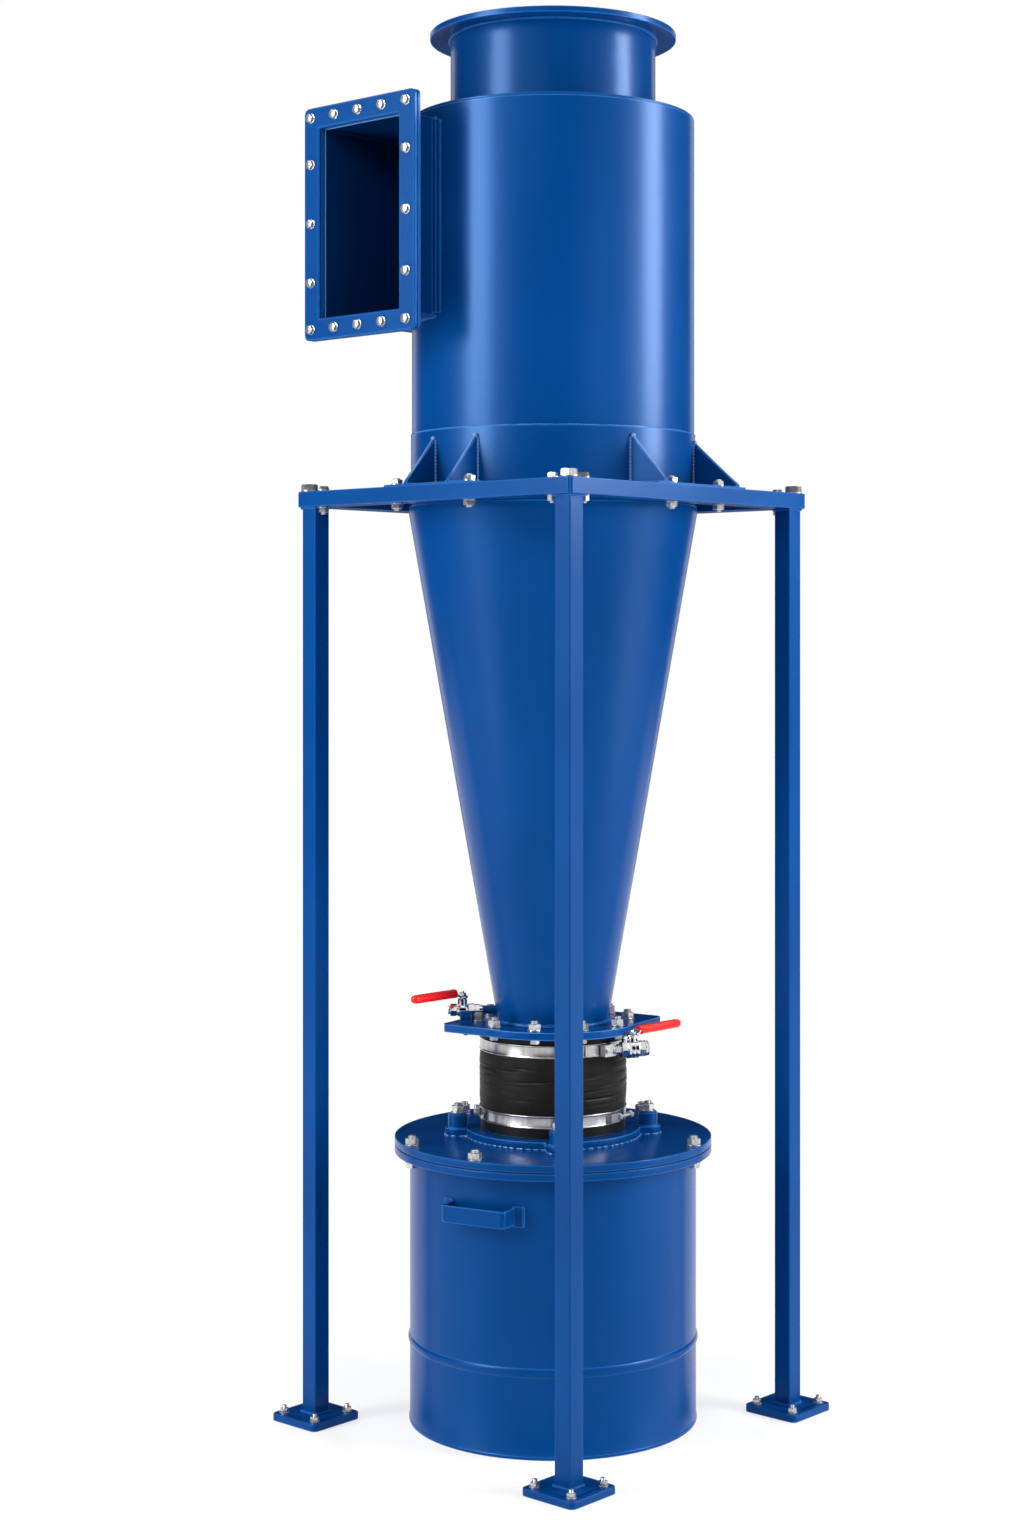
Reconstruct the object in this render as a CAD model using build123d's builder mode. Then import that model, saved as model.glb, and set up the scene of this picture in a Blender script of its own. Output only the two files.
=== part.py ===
from build123d import *
import math
import os

os.makedirs("parts", exist_ok=True)

# A cyclone dust separator in a square frame. It stands on the ground at Z = 0 with its axis on Z,
# and its inlet faces -Y. Sizes in mm, angles in degrees.

# Frame: four tube legs on foot plates, with a square of mitred beams on top
frame_top = 1936.0
frame_clear = 84.0
beam_wide = 58.0
beam_high = 32.0
beam_wall = 5.0
beam_corner_cut = 7.0
leg_size = 40.0
leg_wall = 3.0
leg_round = 3.0
leg_setback = 9.0
foot_size = 132.0
foot_thick = 15.0
foot_round = 12.0
foot_edge = 1.5
anchor_hole = 14.0
anchor_inset = 20.0

# Cyclone body: barrel, lapped skirt and cone
barrel_r = 296.0
barrel_wall = 4.0
barrel_high = 661.0
roof_thick = 6.0
roof_edge = 2.5
seam_step = 2.0
skirt_above = 118.0
skirt_below = 46.0
collar_high = 15.0
cone_high = 1061.0
cone_wall = 4.0

# Clean air outlet: a pipe hung through the roof
outlet_clear = 81.0
outlet_wall = 4.0
outlet_rise = 180.0
outlet_flange_wide = 43.0
outlet_flange_thick = 12.0
outlet_flange_edge = 1.5
finder_depth = 465.0
weld_step = 2.0

# Tangential inlet duct with its bolted pair of flanges
inlet_wide = 232.0
inlet_high = 392.0
inlet_drop = 34.0
inlet_reach = 398.0
duct_wall = 4.0
duct_lip = 10.0
duct_run_out = 0.135
wall_run_out = 0.2
flange_border = 44.0
flange_thick = 10.0
flange_round = 14.0
flange_hole = 13.5
flange_row_x = 0.5
flange_row_z = 0.56

# Lugs that carry the barrel on the beams
lug_plate = 4.0
lug_plate_inset = 5.0
gusset_inset = 5.0
gusset_thick = 8.0
gusset_rise = 100.0
gusset_toe = 5.0
front_gusset_at = 64.0
front_gusset_right = 54.0
front_plate_over = 61.0
side_gusset_near = 84.0
side_gusset_far = 148.0
side_plate_over = 25.0

# Flange at the foot of the cone, drawn out to a point on each side
disc_wide = 32.0
disc_thick = 16.0
ear_out = 52.0
ear_tip = 8.0
ear_root = 96.0
ear_root_lap = 1.9101
ear_sweep = 60.0
ear_angle = 55.0

# Soft sleeve between the cone and the drum, held by two bands
sleeve_r = 148.0
sleeve_wall = 4.0
sleeve_bulge = 2.5
sleeve_gap = 206.0
sleeve_end = 2.0
sleeve_taper = 12.0
cone_step_in = 32.0
spigot_wall = 4.0
spigot_long = 74.0
band_thick = 1.5
band_wide = 26.0
band_inset = 15.0
band_lift = 6.0
clamp_box_long = 28.0
clamp_box_deep = 10.0
clamp_box_share = 0.76
clamp_upper_angle = -18.0
clamp_lower_angle = 4.0

# Dust drum with a bolted lid, a collar for the sleeve and four posts
collar_wide = 34.0
collar_thick = 16.0
lid_overhang = 32.0
lid_thick = 15.0
lid_edge = 2.0
gasket_thick = 2.0
gasket_inset = 3.0
post_r = 20.0
post_high = 46.0
post_out = 18.0
post_pad = 6.0
post_edge = 3.0
post_angles = (-135.0, -45.0, 45.0, 135.0)
drum_r = 300.0
drum_wall = 3.0
drum_rim_thick = 15.0
foot_ring_high = 7.0
foot_ring_proud = 1.5
floor_up = 14.0
floor_thick = 4.0
bead_proud = 3.5
bead_half = 9.0
bead_share = 0.3
grab_long = 145.0
grab_high = 34.0
grab_thick = 6.0
grab_out = 38.0
grab_bend = 9.0
grab_drop = 92.0
grab_foot_long = 14.0
grab_foot_thick = 4.0
grab_foot_over = 4.0
grab_angle = -77.0

# Ball valves with quarter turn levers
valve_r = 19.0
valve_long = 26.0
valve_end_r = 17.0
valve_end_long = 13.0
valve_neck_r = 10.0
valve_neck_high = 25.0
pipe_r = 9.0
post_block_long = 24.0
post_block_wide = 30.0
stem_r = 4.0
stem_play = 0.05
lever_gap = 0.3
lever_thick = 4.0
lever_rise = 9.0
ramp_from = 12.0
ramp_to = 23.0
arm_wide = 13.0
arm_short = 6.0
hub_r = 12.0
cap_r = 8.0
cap_high = 6.0
grip_wide = 20.0
grip_high = 13.0
grip_edge = 3.5
cone_valve_out = 10.0
cone_valve_angle = -135.0
cone_valve_up = 23.0
cone_lever_long = 150.0
band_valve_out = 13.0
band_valve_angle = 9.1
band_lever_long = 155.0
saddle_angle = -6.0
saddle_wide = 30.0
saddle_deep = 22.0
saddle_share = 0.92

# Places that follow from the sizes above
skirt_r = barrel_r + seam_step
frame_half = barrel_r + frame_clear
leg_at = frame_half - leg_setback - leg_size / 2
seam_z = frame_top + skirt_above
barrel_top = seam_z + barrel_high
roof_under = barrel_top - roof_thick
outlet_r = barrel_r - outlet_clear
outlet_top = barrel_top + outlet_rise
cone_top = frame_top - skirt_below
cone_foot_r = sleeve_r - cone_step_in
disc_top = cone_top - cone_high
disc_under = disc_top - disc_thick
disc_r = sleeve_r + disc_wide
ear_root_at = math.sqrt((disc_r - ear_root_lap) ** 2 - ear_root**2)
collar_top = disc_under - sleeve_gap
lid_top = collar_top - collar_thick
lid_under = lid_top - lid_thick
drum_top = lid_under - gasket_thick
lid_r = drum_r + lid_overhang
post_at = sleeve_r + collar_wide + post_out
spigot_in = sleeve_r - spigot_wall
sleeve_out = sleeve_r + sleeve_wall
band_out = sleeve_out + band_thick
upper_band_z = disc_under - band_inset - band_wide / 2
lower_band_z = collar_top + band_inset + band_lift + band_wide / 2
duct_far = -barrel_r
duct_near = duct_far + inlet_wide + 2 * duct_wall
inlet_top = barrel_top - inlet_drop
inlet_x = (duct_far + duct_near) / 2
inlet_z = inlet_top - inlet_high / 2


def polar(radius, angle):
    return radius * math.cos(math.radians(angle)), radius * math.sin(math.radians(angle))


def facing(radius, angle):
    return Location((*polar(radius, angle), 0), (0, 0, angle))


def save(piece, label):
    piece.label = label
    export_step(piece, "parts/" + label + ".step")


def save_tube(label, outer, inner, low, high):
    with BuildPart() as tube:
        with BuildSketch(Plane.XY.offset(low)):
            Circle(outer)
            Circle(inner, mode=Mode.SUBTRACT)
        extrude(amount=high - low)
    save(tube.part, label)


# Foot plates and legs, one of each at every corner
corners = {"front": (1, -1), "left": (-1, -1), "right": (1, 1), "back": (-1, 1)}
for side, (sx, sy) in corners.items():
    with BuildPart() as foot_plate:
        with BuildSketch(Plane.XY):
            with Locations((sx * leg_at, sy * leg_at)):
                RectangleRounded(foot_size, foot_size, foot_round)
        extrude(amount=foot_thick)
        chamfer(foot_plate.faces().sort_by(Axis.Z)[-1].edges(), foot_edge)
        with BuildSketch(Plane.XY):
            with Locations((sx * leg_at, sy * leg_at)):
                with GridLocations(foot_size - 2 * anchor_inset, foot_size - 2 * anchor_inset, 2, 2):
                    Circle(anchor_hole / 2)
        extrude(amount=foot_thick, mode=Mode.SUBTRACT)
    save(foot_plate.part, "foot_plate_" + side)

    with BuildPart() as leg:
        with BuildSketch(Plane.XY.offset(foot_thick)):
            with Locations((sx * leg_at, sy * leg_at)):
                RectangleRounded(leg_size, leg_size, leg_round)
                Rectangle(leg_size - 2 * leg_wall, leg_size - 2 * leg_wall, mode=Mode.SUBTRACT)
        extrude(amount=frame_top - beam_high - foot_thick)
    save(leg.part, "leg_" + side)

# Beams: mitred tubes whose outer corners are cut off
for side, turn in {"front": 0, "right": 90, "back": 180, "left": 270}.items():
    inside = frame_half - beam_wide
    cut = beam_corner_cut / 2
    with BuildPart() as beam:
        with BuildSketch(Plane.XY.offset(frame_top - beam_high)):
            Polygon(
                (-frame_half + 2 * cut, -frame_half),
                (frame_half - 2 * cut, -frame_half),
                (frame_half - cut, -frame_half + cut),
                (inside, -inside),
                (-inside, -inside),
                (-frame_half + cut, -frame_half + cut),
                align=None,
            )
        extrude(amount=beam_high)
        with BuildSketch(Plane.XY.offset(frame_top - beam_high + beam_wall)):
            near = frame_half - beam_wall
            far = inside + beam_wall
            Polygon((-near, -near), (near, -near), (far, -far), (-far, -far), align=None)
        extrude(amount=beam_high - 2 * beam_wall, mode=Mode.SUBTRACT)
    save(beam.part.rotate(Axis.Z, turn), "beam_" + side)

# Lugs: a plate on the beam and two gussets, all cut to the skirt
lugs = {
    "front": (0, -front_gusset_at, front_gusset_right, front_plate_over),
    "left": (270, -front_gusset_at, front_gusset_at, front_plate_over),
    "right": (90, -side_gusset_near, side_gusset_far, side_plate_over),
    "back": (180, -side_gusset_far, side_gusset_near, side_plate_over),
}
for side, (turn, first, last, over) in lugs.items():
    plate_out = frame_half - lug_plate_inset
    plate_in = math.sqrt(skirt_r**2 - (max(-first, last) + over) ** 2)
    toe = -frame_half + gusset_inset
    base = frame_top + lug_plate
    with BuildPart() as lug:
        with BuildSketch(Plane.XY.offset(frame_top)):
            with Locations(((first + last) / 2, -(plate_out + plate_in) / 2)):
                Rectangle(last - first + 2 * over, plate_out - plate_in)
        extrude(amount=lug_plate)
        for at in (first, last):
            root = -math.sqrt(skirt_r**2 - at**2)
            with BuildSketch(Plane.YZ.offset(at - gusset_thick / 2)):
                Polygon(
                    (-plate_in, base),
                    (toe, base),
                    (toe, base + gusset_toe),
                    (root, frame_top + gusset_rise),
                    (-plate_in, frame_top + gusset_rise),
                    align=None,
                )
            extrude(amount=gusset_thick)
        with BuildSketch(Plane.XY.offset(frame_top)):
            Circle(skirt_r)
        extrude(amount=gusset_rise, mode=Mode.SUBTRACT)
    save(lug.part.rotate(Axis.Z, turn), "lug_" + side)

# Barrel, with the duct opening cut through its wall
with BuildPart() as barrel_upper:
    with BuildSketch(Plane.XY.offset(seam_z)):
        Circle(barrel_r)
        Circle(barrel_r - barrel_wall, mode=Mode.SUBTRACT)
    extrude(amount=roof_under - seam_z)
    with BuildSketch(Plane.XZ.offset(barrel_r * wall_run_out)):
        with Locations((inlet_x, inlet_z)):
            Rectangle(inlet_wide, inlet_high)
    extrude(amount=barrel_r, mode=Mode.SUBTRACT)
save(barrel_upper.part, "barrel_upper")

save_tube("barrel_lower", skirt_r, skirt_r - barrel_wall, cone_top, seam_z)
save_tube("outlet_pipe", outlet_r, outlet_r - outlet_wall, barrel_top - finder_depth, outlet_top - weld_step)

with BuildPart() as roof_plate:
    with BuildSketch(Plane.XY.offset(roof_under)):
        Circle(barrel_r)
        Circle(outlet_r, mode=Mode.SUBTRACT)
    extrude(amount=roof_thick)
    fillet(roof_plate.faces().sort_by(Axis.Z)[-1].outer_wire().edges(), roof_edge)
save(roof_plate.part, "roof_plate")

with BuildPart() as outlet_flange:
    with BuildSketch(Plane.XY.offset(outlet_top - outlet_flange_thick)):
        Circle(outlet_r + outlet_flange_wide)
        Circle(outlet_r, mode=Mode.SUBTRACT)
    extrude(amount=outlet_flange_thick)
    chamfer(outlet_flange.faces().sort_by(Axis.Z)[-1].outer_wire().edges(), outlet_flange_edge)
save(outlet_flange.part, "outlet_flange")

# Cone with a short collar lapped over the skirt
with BuildPart() as cone:
    with BuildSketch(Plane.XZ):
        Polygon(
            (cone_foot_r - cone_wall, disc_top),
            (cone_foot_r, disc_top),
            (skirt_r + cone_wall, cone_top),
            (skirt_r + cone_wall, cone_top + collar_high),
            (skirt_r, cone_top + collar_high),
            (skirt_r, cone_top),
            align=None,
        )
    revolve(axis=Axis.Z)
save(cone.part, "cone")

# Inlet duct: a square tube cut to the barrel, with an angle strip along its near corner.
# The far wall runs out as a tangent to the barrel.
with BuildPart() as inlet_duct:
    with BuildSketch(Plane.XZ.offset(barrel_r * duct_run_out)):
        with Locations((inlet_x, inlet_z)):
            Rectangle(inlet_wide + 2 * duct_wall, inlet_high + 2 * duct_wall)
            Rectangle(inlet_wide, inlet_high, mode=Mode.SUBTRACT)
    extrude(amount=inlet_reach - 2 * flange_thick - barrel_r * duct_run_out)
    with BuildSketch(Plane.XZ.offset(barrel_r * duct_run_out)):
        with Locations((duct_near + duct_lip / 2, inlet_z)):
            Rectangle(duct_lip, inlet_high)
    extrude(amount=barrel_r * (1 - duct_run_out) + duct_lip)
    with BuildSketch(Plane.XY.offset(inlet_z - inlet_high)):
        Circle(barrel_r)
    extrude(amount=2 * inlet_high, mode=Mode.SUBTRACT)
save(inlet_duct.part, "inlet_duct")

# The two inlet flanges share one bolt pattern: a bolt in each corner and three along each side
bolt_x = (inlet_wide + flange_border) / 2
bolt_z = (inlet_high + flange_border) / 2
steps_x = (-1, -flange_row_x, 0, flange_row_x, 1)
steps_z = (-1, -flange_row_z, 0, flange_row_z, 1)
bolt_steps = [(i, k) for i in steps_x for k in steps_z if 1 in (abs(i), abs(k))]
bolt_spots = [(inlet_x + i * bolt_x, inlet_z + k * bolt_z) for i, k in bolt_steps]
flange_backs = {"inlet_flange": inlet_reach - 2 * flange_thick, "inlet_counter_flange": inlet_reach - flange_thick}
for label, back in flange_backs.items():
    with BuildPart() as flange:
        with BuildSketch(Plane.XZ.offset(back)):
            with Locations((inlet_x, inlet_z)):
                RectangleRounded(inlet_wide + 2 * flange_border, inlet_high + 2 * flange_border, flange_round)
                Rectangle(inlet_wide, inlet_high, mode=Mode.SUBTRACT)
            with Locations(*bolt_spots):
                Circle(flange_hole / 2, mode=Mode.SUBTRACT)
        extrude(amount=flange_thick)
    save(flange.part, label)

# Flange at the foot of the cone: each ear sweeps out of the disc in a hollow curve
with BuildPart() as cone_flange:
    with BuildSketch(Plane.XY.offset(disc_under)) as disc:
        Circle(disc_r)
        with Locations((0, 0), Location((0, 0, 0), (0, 0, 180))):
            Polygon(
                (ear_root_at, -ear_root),
                (disc_r + ear_out, -ear_tip),
                (disc_r + ear_out, ear_tip),
                (ear_root_at, ear_root),
                align=None,
            )
        waist = [v for v in disc.vertices() if abs(math.hypot(v.X, v.Y) - disc_r) < 1 and abs(v.Y) > ear_tip * 2]
        fillet(waist, ear_sweep)
        fillet([v for v in disc.vertices() if abs(abs(v.X) - disc_r - ear_out) < 1], ear_tip * 0.8)
        Circle(cone_foot_r - cone_wall, mode=Mode.SUBTRACT)
    extrude(amount=disc_thick)
save(cone_flange.part.rotate(Axis.Z, ear_angle), "cone_flange")

# Sleeve with its upper spigot and its two bands
save_tube("cone_spigot", sleeve_r, spigot_in, disc_under - spigot_long, disc_under)

with BuildPart() as sleeve:
    with BuildSketch(Plane.XZ):
        bulge_low = lower_band_z + band_wide / 2
        bulge_high = upper_band_z - band_wide / 2
        Polygon(
            (sleeve_r, collar_top + sleeve_end),
            (sleeve_out, collar_top + sleeve_end),
            (sleeve_out, bulge_low),
            (sleeve_out + sleeve_bulge, bulge_low + sleeve_taper),
            (sleeve_out + sleeve_bulge, bulge_high - sleeve_taper),
            (sleeve_out, bulge_high),
            (sleeve_out, disc_under - sleeve_end),
            (sleeve_r, disc_under - sleeve_end),
            align=None,
        )
    revolve(axis=Axis.Z)
save(sleeve.part, "sleeve")

clamps = {"clamp_upper": (upper_band_z, clamp_upper_angle), "clamp_lower": (lower_band_z, clamp_lower_angle)}
for label, (middle, angle) in clamps.items():
    with BuildPart() as clamp:
        with BuildSketch(Plane.XY.offset(middle)):
            Circle(band_out)
            Circle(sleeve_out, mode=Mode.SUBTRACT)
        extrude(amount=band_wide / 2, both=True)
        with BuildSketch(Plane.XY.offset(middle)):
            with Locations(facing(sleeve_out + clamp_box_deep / 2, angle)):
                Rectangle(clamp_box_deep, clamp_box_long)
            Circle(sleeve_out, mode=Mode.SUBTRACT)
        extrude(amount=band_wide * clamp_box_share / 2, both=True)
    save(clamp.part, label)

# Collar on the lid: a ring with a pad and a post at four places, and the sleeve's lower spigot
with BuildPart() as lid_collar:
    with BuildSketch(Plane.XY.offset(lid_top)):
        Circle(collar_wide + sleeve_r)
        for angle in post_angles:
            with Locations(facing(post_at, angle)):
                Circle(post_r + post_pad)
            with Locations(facing(post_at / 2, angle)):
                Rectangle(post_at, 2 * (post_r + post_pad))
        Circle(spigot_in, mode=Mode.SUBTRACT)
    extrude(amount=collar_thick)
    with BuildSketch(Plane.XY.offset(lid_top)):
        with Locations(*[polar(post_at, angle) for angle in post_angles]):
            Circle(post_r)
    extrude(amount=post_high)
    chamfer(lid_collar.faces().filter_by(Plane.XY).sort_by(Axis.Z)[-len(post_angles) :].edges(), post_edge)
    with BuildSketch(Plane.XY.offset(collar_top)):
        Circle(sleeve_r)
        Circle(spigot_in, mode=Mode.SUBTRACT)
    extrude(amount=spigot_long)
save(lid_collar.part, "lid_collar")

with BuildPart() as drum_lid:
    with BuildSketch(Plane.XY.offset(lid_under)):
        Circle(lid_r)
        Circle(spigot_in, mode=Mode.SUBTRACT)
    extrude(amount=lid_thick)
    chamfer(drum_lid.faces().sort_by(Axis.Z)[-1].outer_wire().edges(), lid_edge)
save(drum_lid.part, "drum_lid")

save_tube("lid_gasket", lid_r - gasket_inset, drum_r - drum_wall, drum_top, lid_under)
save_tube("drum_rim", lid_r, drum_r, drum_top - drum_rim_thick, drum_top)

# Drum, turned in one profile with its swage bead and foot ring
with BuildPart() as drum_body:
    with BuildSketch(Plane.XZ):
        with BuildLine():
            bead_z = drum_top * bead_share
            bore = drum_r - drum_wall
            Polyline(
                (drum_r, drum_top),
                (bore, drum_top),
                (bore, floor_up + floor_thick),
                (0, floor_up + floor_thick),
                (0, floor_up),
                (bore, floor_up),
                (bore, 0),
                (drum_r + foot_ring_proud, 0),
                (drum_r + foot_ring_proud, foot_ring_high),
                (drum_r, foot_ring_high + foot_ring_proud),
                (drum_r, bead_z - bead_half),
            )
            ThreePointArc(
                (drum_r, bead_z - bead_half), (drum_r + bead_proud, bead_z), (drum_r, bead_z + bead_half)
            )
            Line((drum_r, bead_z + bead_half), (drum_r, drum_top))
        make_face()
    revolve(axis=Axis.Z)
save(drum_body.part, "drum_body")

# Grab handles: a bent flat bar with a small foot welded to the drum at each end
for label, angle in {"drum_handle_front": grab_angle, "drum_handle_back": grab_angle + 180}.items():
    reach = 2 * grab_out + grab_bend
    with BuildPart() as grab:
        with BuildSketch(Plane.XY.offset(drum_top - grab_drop)):
            with Locations(facing(drum_r + grab_out - reach / 2, angle)):
                RectangleRounded(reach, grab_long, grab_bend)
                RectangleRounded(
                    reach - 2 * grab_thick, grab_long - 2 * grab_thick, grab_bend - grab_thick / 2, mode=Mode.SUBTRACT
                )
            Circle(drum_r, mode=Mode.SUBTRACT)
        extrude(amount=grab_high / 2, both=True)
        with BuildSketch(Plane.XY.offset(drum_top - grab_drop)):
            for way in (-1, 1):
                spread = math.degrees(math.asin((grab_long + grab_foot_long) / 2 / drum_r))
                with Locations(facing(drum_r, angle + way * spread)):
                    Rectangle(2 * grab_foot_thick, grab_foot_long + grab_thick)
            Circle(drum_r, mode=Mode.SUBTRACT)
        extrude(amount=grab_high / 2 + grab_foot_over, both=True)
    save(grab.part, label)


# Valve on the ear of the cone flange: its block stands on the ear, and its pipe goes into the cone
cone_valve_at = disc_r + cone_valve_out
cone_valve_z = disc_top + cone_valve_up
cone_valve_x, cone_valve_y = polar(cone_valve_at, cone_valve_angle)
outward = (*polar(1, cone_valve_angle), 0)
with BuildPart() as ear_block:
    with BuildSketch(Plane.XY.offset(disc_top)):
        with Locations(facing(cone_valve_at - valve_long / 4, cone_valve_angle)):
            Rectangle(post_block_long, post_block_wide)
    extrude(amount=cone_valve_up)
with BuildPart() as cone_core:
    with BuildSketch(Plane.XZ):
        Polygon((0, disc_top), (cone_foot_r, disc_top), (skirt_r + cone_wall, cone_top), (0, cone_top), align=None)
    revolve(axis=Axis.Z)

# Valve beside the sleeve: its pipe comes out of a saddle on the upper band
band_valve_x, band_valve_y = polar(disc_r + band_valve_out, band_valve_angle)
saddle_x, saddle_y = polar(band_out + saddle_deep / 2, saddle_angle)
saddle_run = math.hypot(band_valve_x - saddle_x, band_valve_y - saddle_y)
sideways = ((band_valve_x - saddle_x) / saddle_run, (band_valve_y - saddle_y) / saddle_run, 0)
with BuildPart() as band_saddle:
    with BuildSketch(Plane.XY.offset(upper_band_z)):
        with Locations(facing(band_out + saddle_deep / 2 - band_thick, saddle_angle)):
            Rectangle(saddle_deep + 2 * band_thick, saddle_wide)
        Circle(band_out, mode=Mode.SUBTRACT)
    extrude(amount=band_wide * saddle_share / 2, both=True)
save(band_saddle.part, "band_saddle")

# Both valves have the same body: a barrel between two hexagon ends, a neck, a stem and a nut
valves = {
    "cone_valve": (
        (cone_valve_x, cone_valve_y, cone_valve_z), outward,
        (0, 0, cone_valve_z), cone_valve_at, [ear_block.part], cone_core.part,
    ),
    "band_valve": (
        (band_valve_x, band_valve_y, upper_band_z), sideways,
        (saddle_x, saddle_y, upper_band_z), saddle_run, [], band_saddle.part,
    ),
}
for label, (middle, way, pipe_from, pipe_long, blocks, seat) in valves.items():
    x, y, z = middle
    nut_z = z + valve_neck_high + lever_thick + 2 * lever_gap
    with BuildPart() as valve:
        with BuildSketch(Plane(origin=middle, x_dir=(0, 0, 1), z_dir=way)):
            Circle(valve_r)
        extrude(amount=valve_long / 2, both=True)
        with BuildSketch(Plane(origin=middle, x_dir=(0, 0, 1), z_dir=way)):
            RegularPolygon(valve_end_r, 6)
        extrude(amount=valve_long / 2 + valve_end_long, both=True)
        with BuildSketch(Plane(origin=pipe_from, x_dir=(0, 0, 1), z_dir=way)):
            Circle(pipe_r)
        extrude(amount=pipe_long)
        with BuildSketch(Plane.XY.offset(z)):
            with Locations((x, y)):
                Circle(valve_neck_r)
        extrude(amount=valve_neck_high)
        with BuildSketch(Plane.XY.offset(z)):
            with Locations((x, y)):
                Circle(stem_r)
        extrude(amount=nut_z - z)
        with BuildSketch(Plane.XY.offset(nut_z)):
            with Locations((x, y)):
                RegularPolygon(cap_r, 6)
        extrude(amount=cap_high)
        add(blocks)
        add(seat, mode=Mode.SUBTRACT)
    save(valve.part, label)

# Levers: a cranked flat bar that turns on the stem, and its dipped grip
levers = {
    "cone_valve": (cone_valve_x, cone_valve_y, cone_valve_z, -1, cone_lever_long),
    "band_valve": (band_valve_x, band_valve_y, upper_band_z, 1, band_lever_long),
}
for label, (x, y, z, way, length) in levers.items():
    low = z + valve_neck_high + lever_gap
    high = low + lever_rise
    with BuildPart() as lever:
        with BuildSketch(Plane.YZ.offset(x)):
            Polygon(
                (y, low),
                (y + way * ramp_from, low),
                (y + way * ramp_to, high),
                (y + way * (length - arm_short), high),
                (y + way * (length - arm_short), high + lever_thick),
                (y + way * (ramp_to - lever_thick / 2), high + lever_thick),
                (y + way * (ramp_from - lever_thick / 2), low + lever_thick),
                (y, low + lever_thick),
                align=None,
            )
        extrude(amount=arm_wide / 2, both=True)
        with BuildSketch(Plane.XY.offset(low)):
            with Locations((x, y)):
                Circle(hub_r)
        extrude(amount=lever_thick)
        with BuildSketch(Plane.XY.offset(low)):
            with Locations((x, y)):
                Circle(stem_r + stem_play)
        extrude(amount=lever_thick, mode=Mode.SUBTRACT)
    save(lever.part, label + "_lever")

    with BuildPart() as grip:
        with BuildSketch(Plane.XY.offset(high + (lever_thick - grip_high) / 2)):
            with Locations((x, y + way * (ramp_to + length) / 2)):
                SlotOverall(length - ramp_to, grip_wide, rotation=90)
        extrude(amount=grip_high)
        chamfer(grip.faces().filter_by(Plane.XY).edges(), grip_edge)
        with BuildSketch(Plane.XY.offset(high)):
            with Locations((x, y + way * (length - arm_short) / 2)):
                Rectangle(arm_wide, length - arm_short)
        extrude(amount=lever_thick, mode=Mode.SUBTRACT)
    save(grip.part, label + "_grip")
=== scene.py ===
import math
import random

import bmesh
import bpy
from mathutils import Matrix, Vector


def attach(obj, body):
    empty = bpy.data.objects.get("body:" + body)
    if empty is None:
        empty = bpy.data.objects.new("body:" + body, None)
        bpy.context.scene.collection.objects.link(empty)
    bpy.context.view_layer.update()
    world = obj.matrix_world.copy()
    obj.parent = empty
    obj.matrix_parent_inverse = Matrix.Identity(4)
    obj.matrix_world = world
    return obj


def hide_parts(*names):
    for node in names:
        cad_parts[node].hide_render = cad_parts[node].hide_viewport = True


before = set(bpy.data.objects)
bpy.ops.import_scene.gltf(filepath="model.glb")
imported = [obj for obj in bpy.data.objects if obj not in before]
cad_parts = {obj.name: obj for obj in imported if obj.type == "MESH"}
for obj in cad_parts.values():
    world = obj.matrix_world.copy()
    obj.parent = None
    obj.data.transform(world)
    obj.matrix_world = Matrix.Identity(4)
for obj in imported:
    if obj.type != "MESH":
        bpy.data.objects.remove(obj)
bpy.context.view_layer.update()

random.seed(11)
mm = 0.001
print("frame loaded:", len(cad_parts), "nodes")


# Shader helpers


class Wire:
    # one output of a node, so that shader maths reads as plain arithmetic
    def __init__(self, owner, socket):
        self.owner = owner
        self.socket = socket

    def join(self, operation, first, second):
        return self.owner.node("ShaderNodeMath", {"operation": operation}, {0: first, 1: second})

    def __add__(self, other):
        return self.join("ADD", self, other)

    __radd__ = __add__

    def __mul__(self, other):
        return self.join("MULTIPLY", self, other)

    __rmul__ = __mul__

    def __sub__(self, other):
        return self.join("SUBTRACT", self, other)

    def __rsub__(self, other):
        return self.join("SUBTRACT", other, self)


class Nodes:
    # the node tree of a finish or of the world
    def __init__(self, holder):
        holder.use_nodes = True
        self.tree = holder.node_tree

    def node(self, kind, settings=None, values=None, output=0):
        made = self.tree.nodes.new(kind)
        for key, value in (settings or {}).items():
            if key == "stops":
                ramp = made.color_ramp.elements
                for spot, (place, shade) in enumerate(value):
                    stop = ramp[spot] if spot < 2 else ramp.new(place)
                    stop.position = place
                    stop.color = (shade, shade, shade, 1)
            else:
                setattr(made, key, value)
        for key, value in (values or {}).items():
            self.feed(made.inputs[key], value)
        return Wire(self, made.outputs[output])

    def feed(self, socket, value):
        if isinstance(value, Wire):
            self.tree.links.new(value.socket, socket)
        else:
            socket.default_value = value

    def seen(self):
        # 1 for the camera's own rays and for those that a shiny or clear surface sends on
        kinds = ("Camera", "Glossy", "Transmission")
        first, second, third = [self.node("ShaderNodeLightPath", output=f"Is {k} Ray") for k in kinds]
        return first.join("MAXIMUM", first.join("MAXIMUM", first, second), third)


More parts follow.
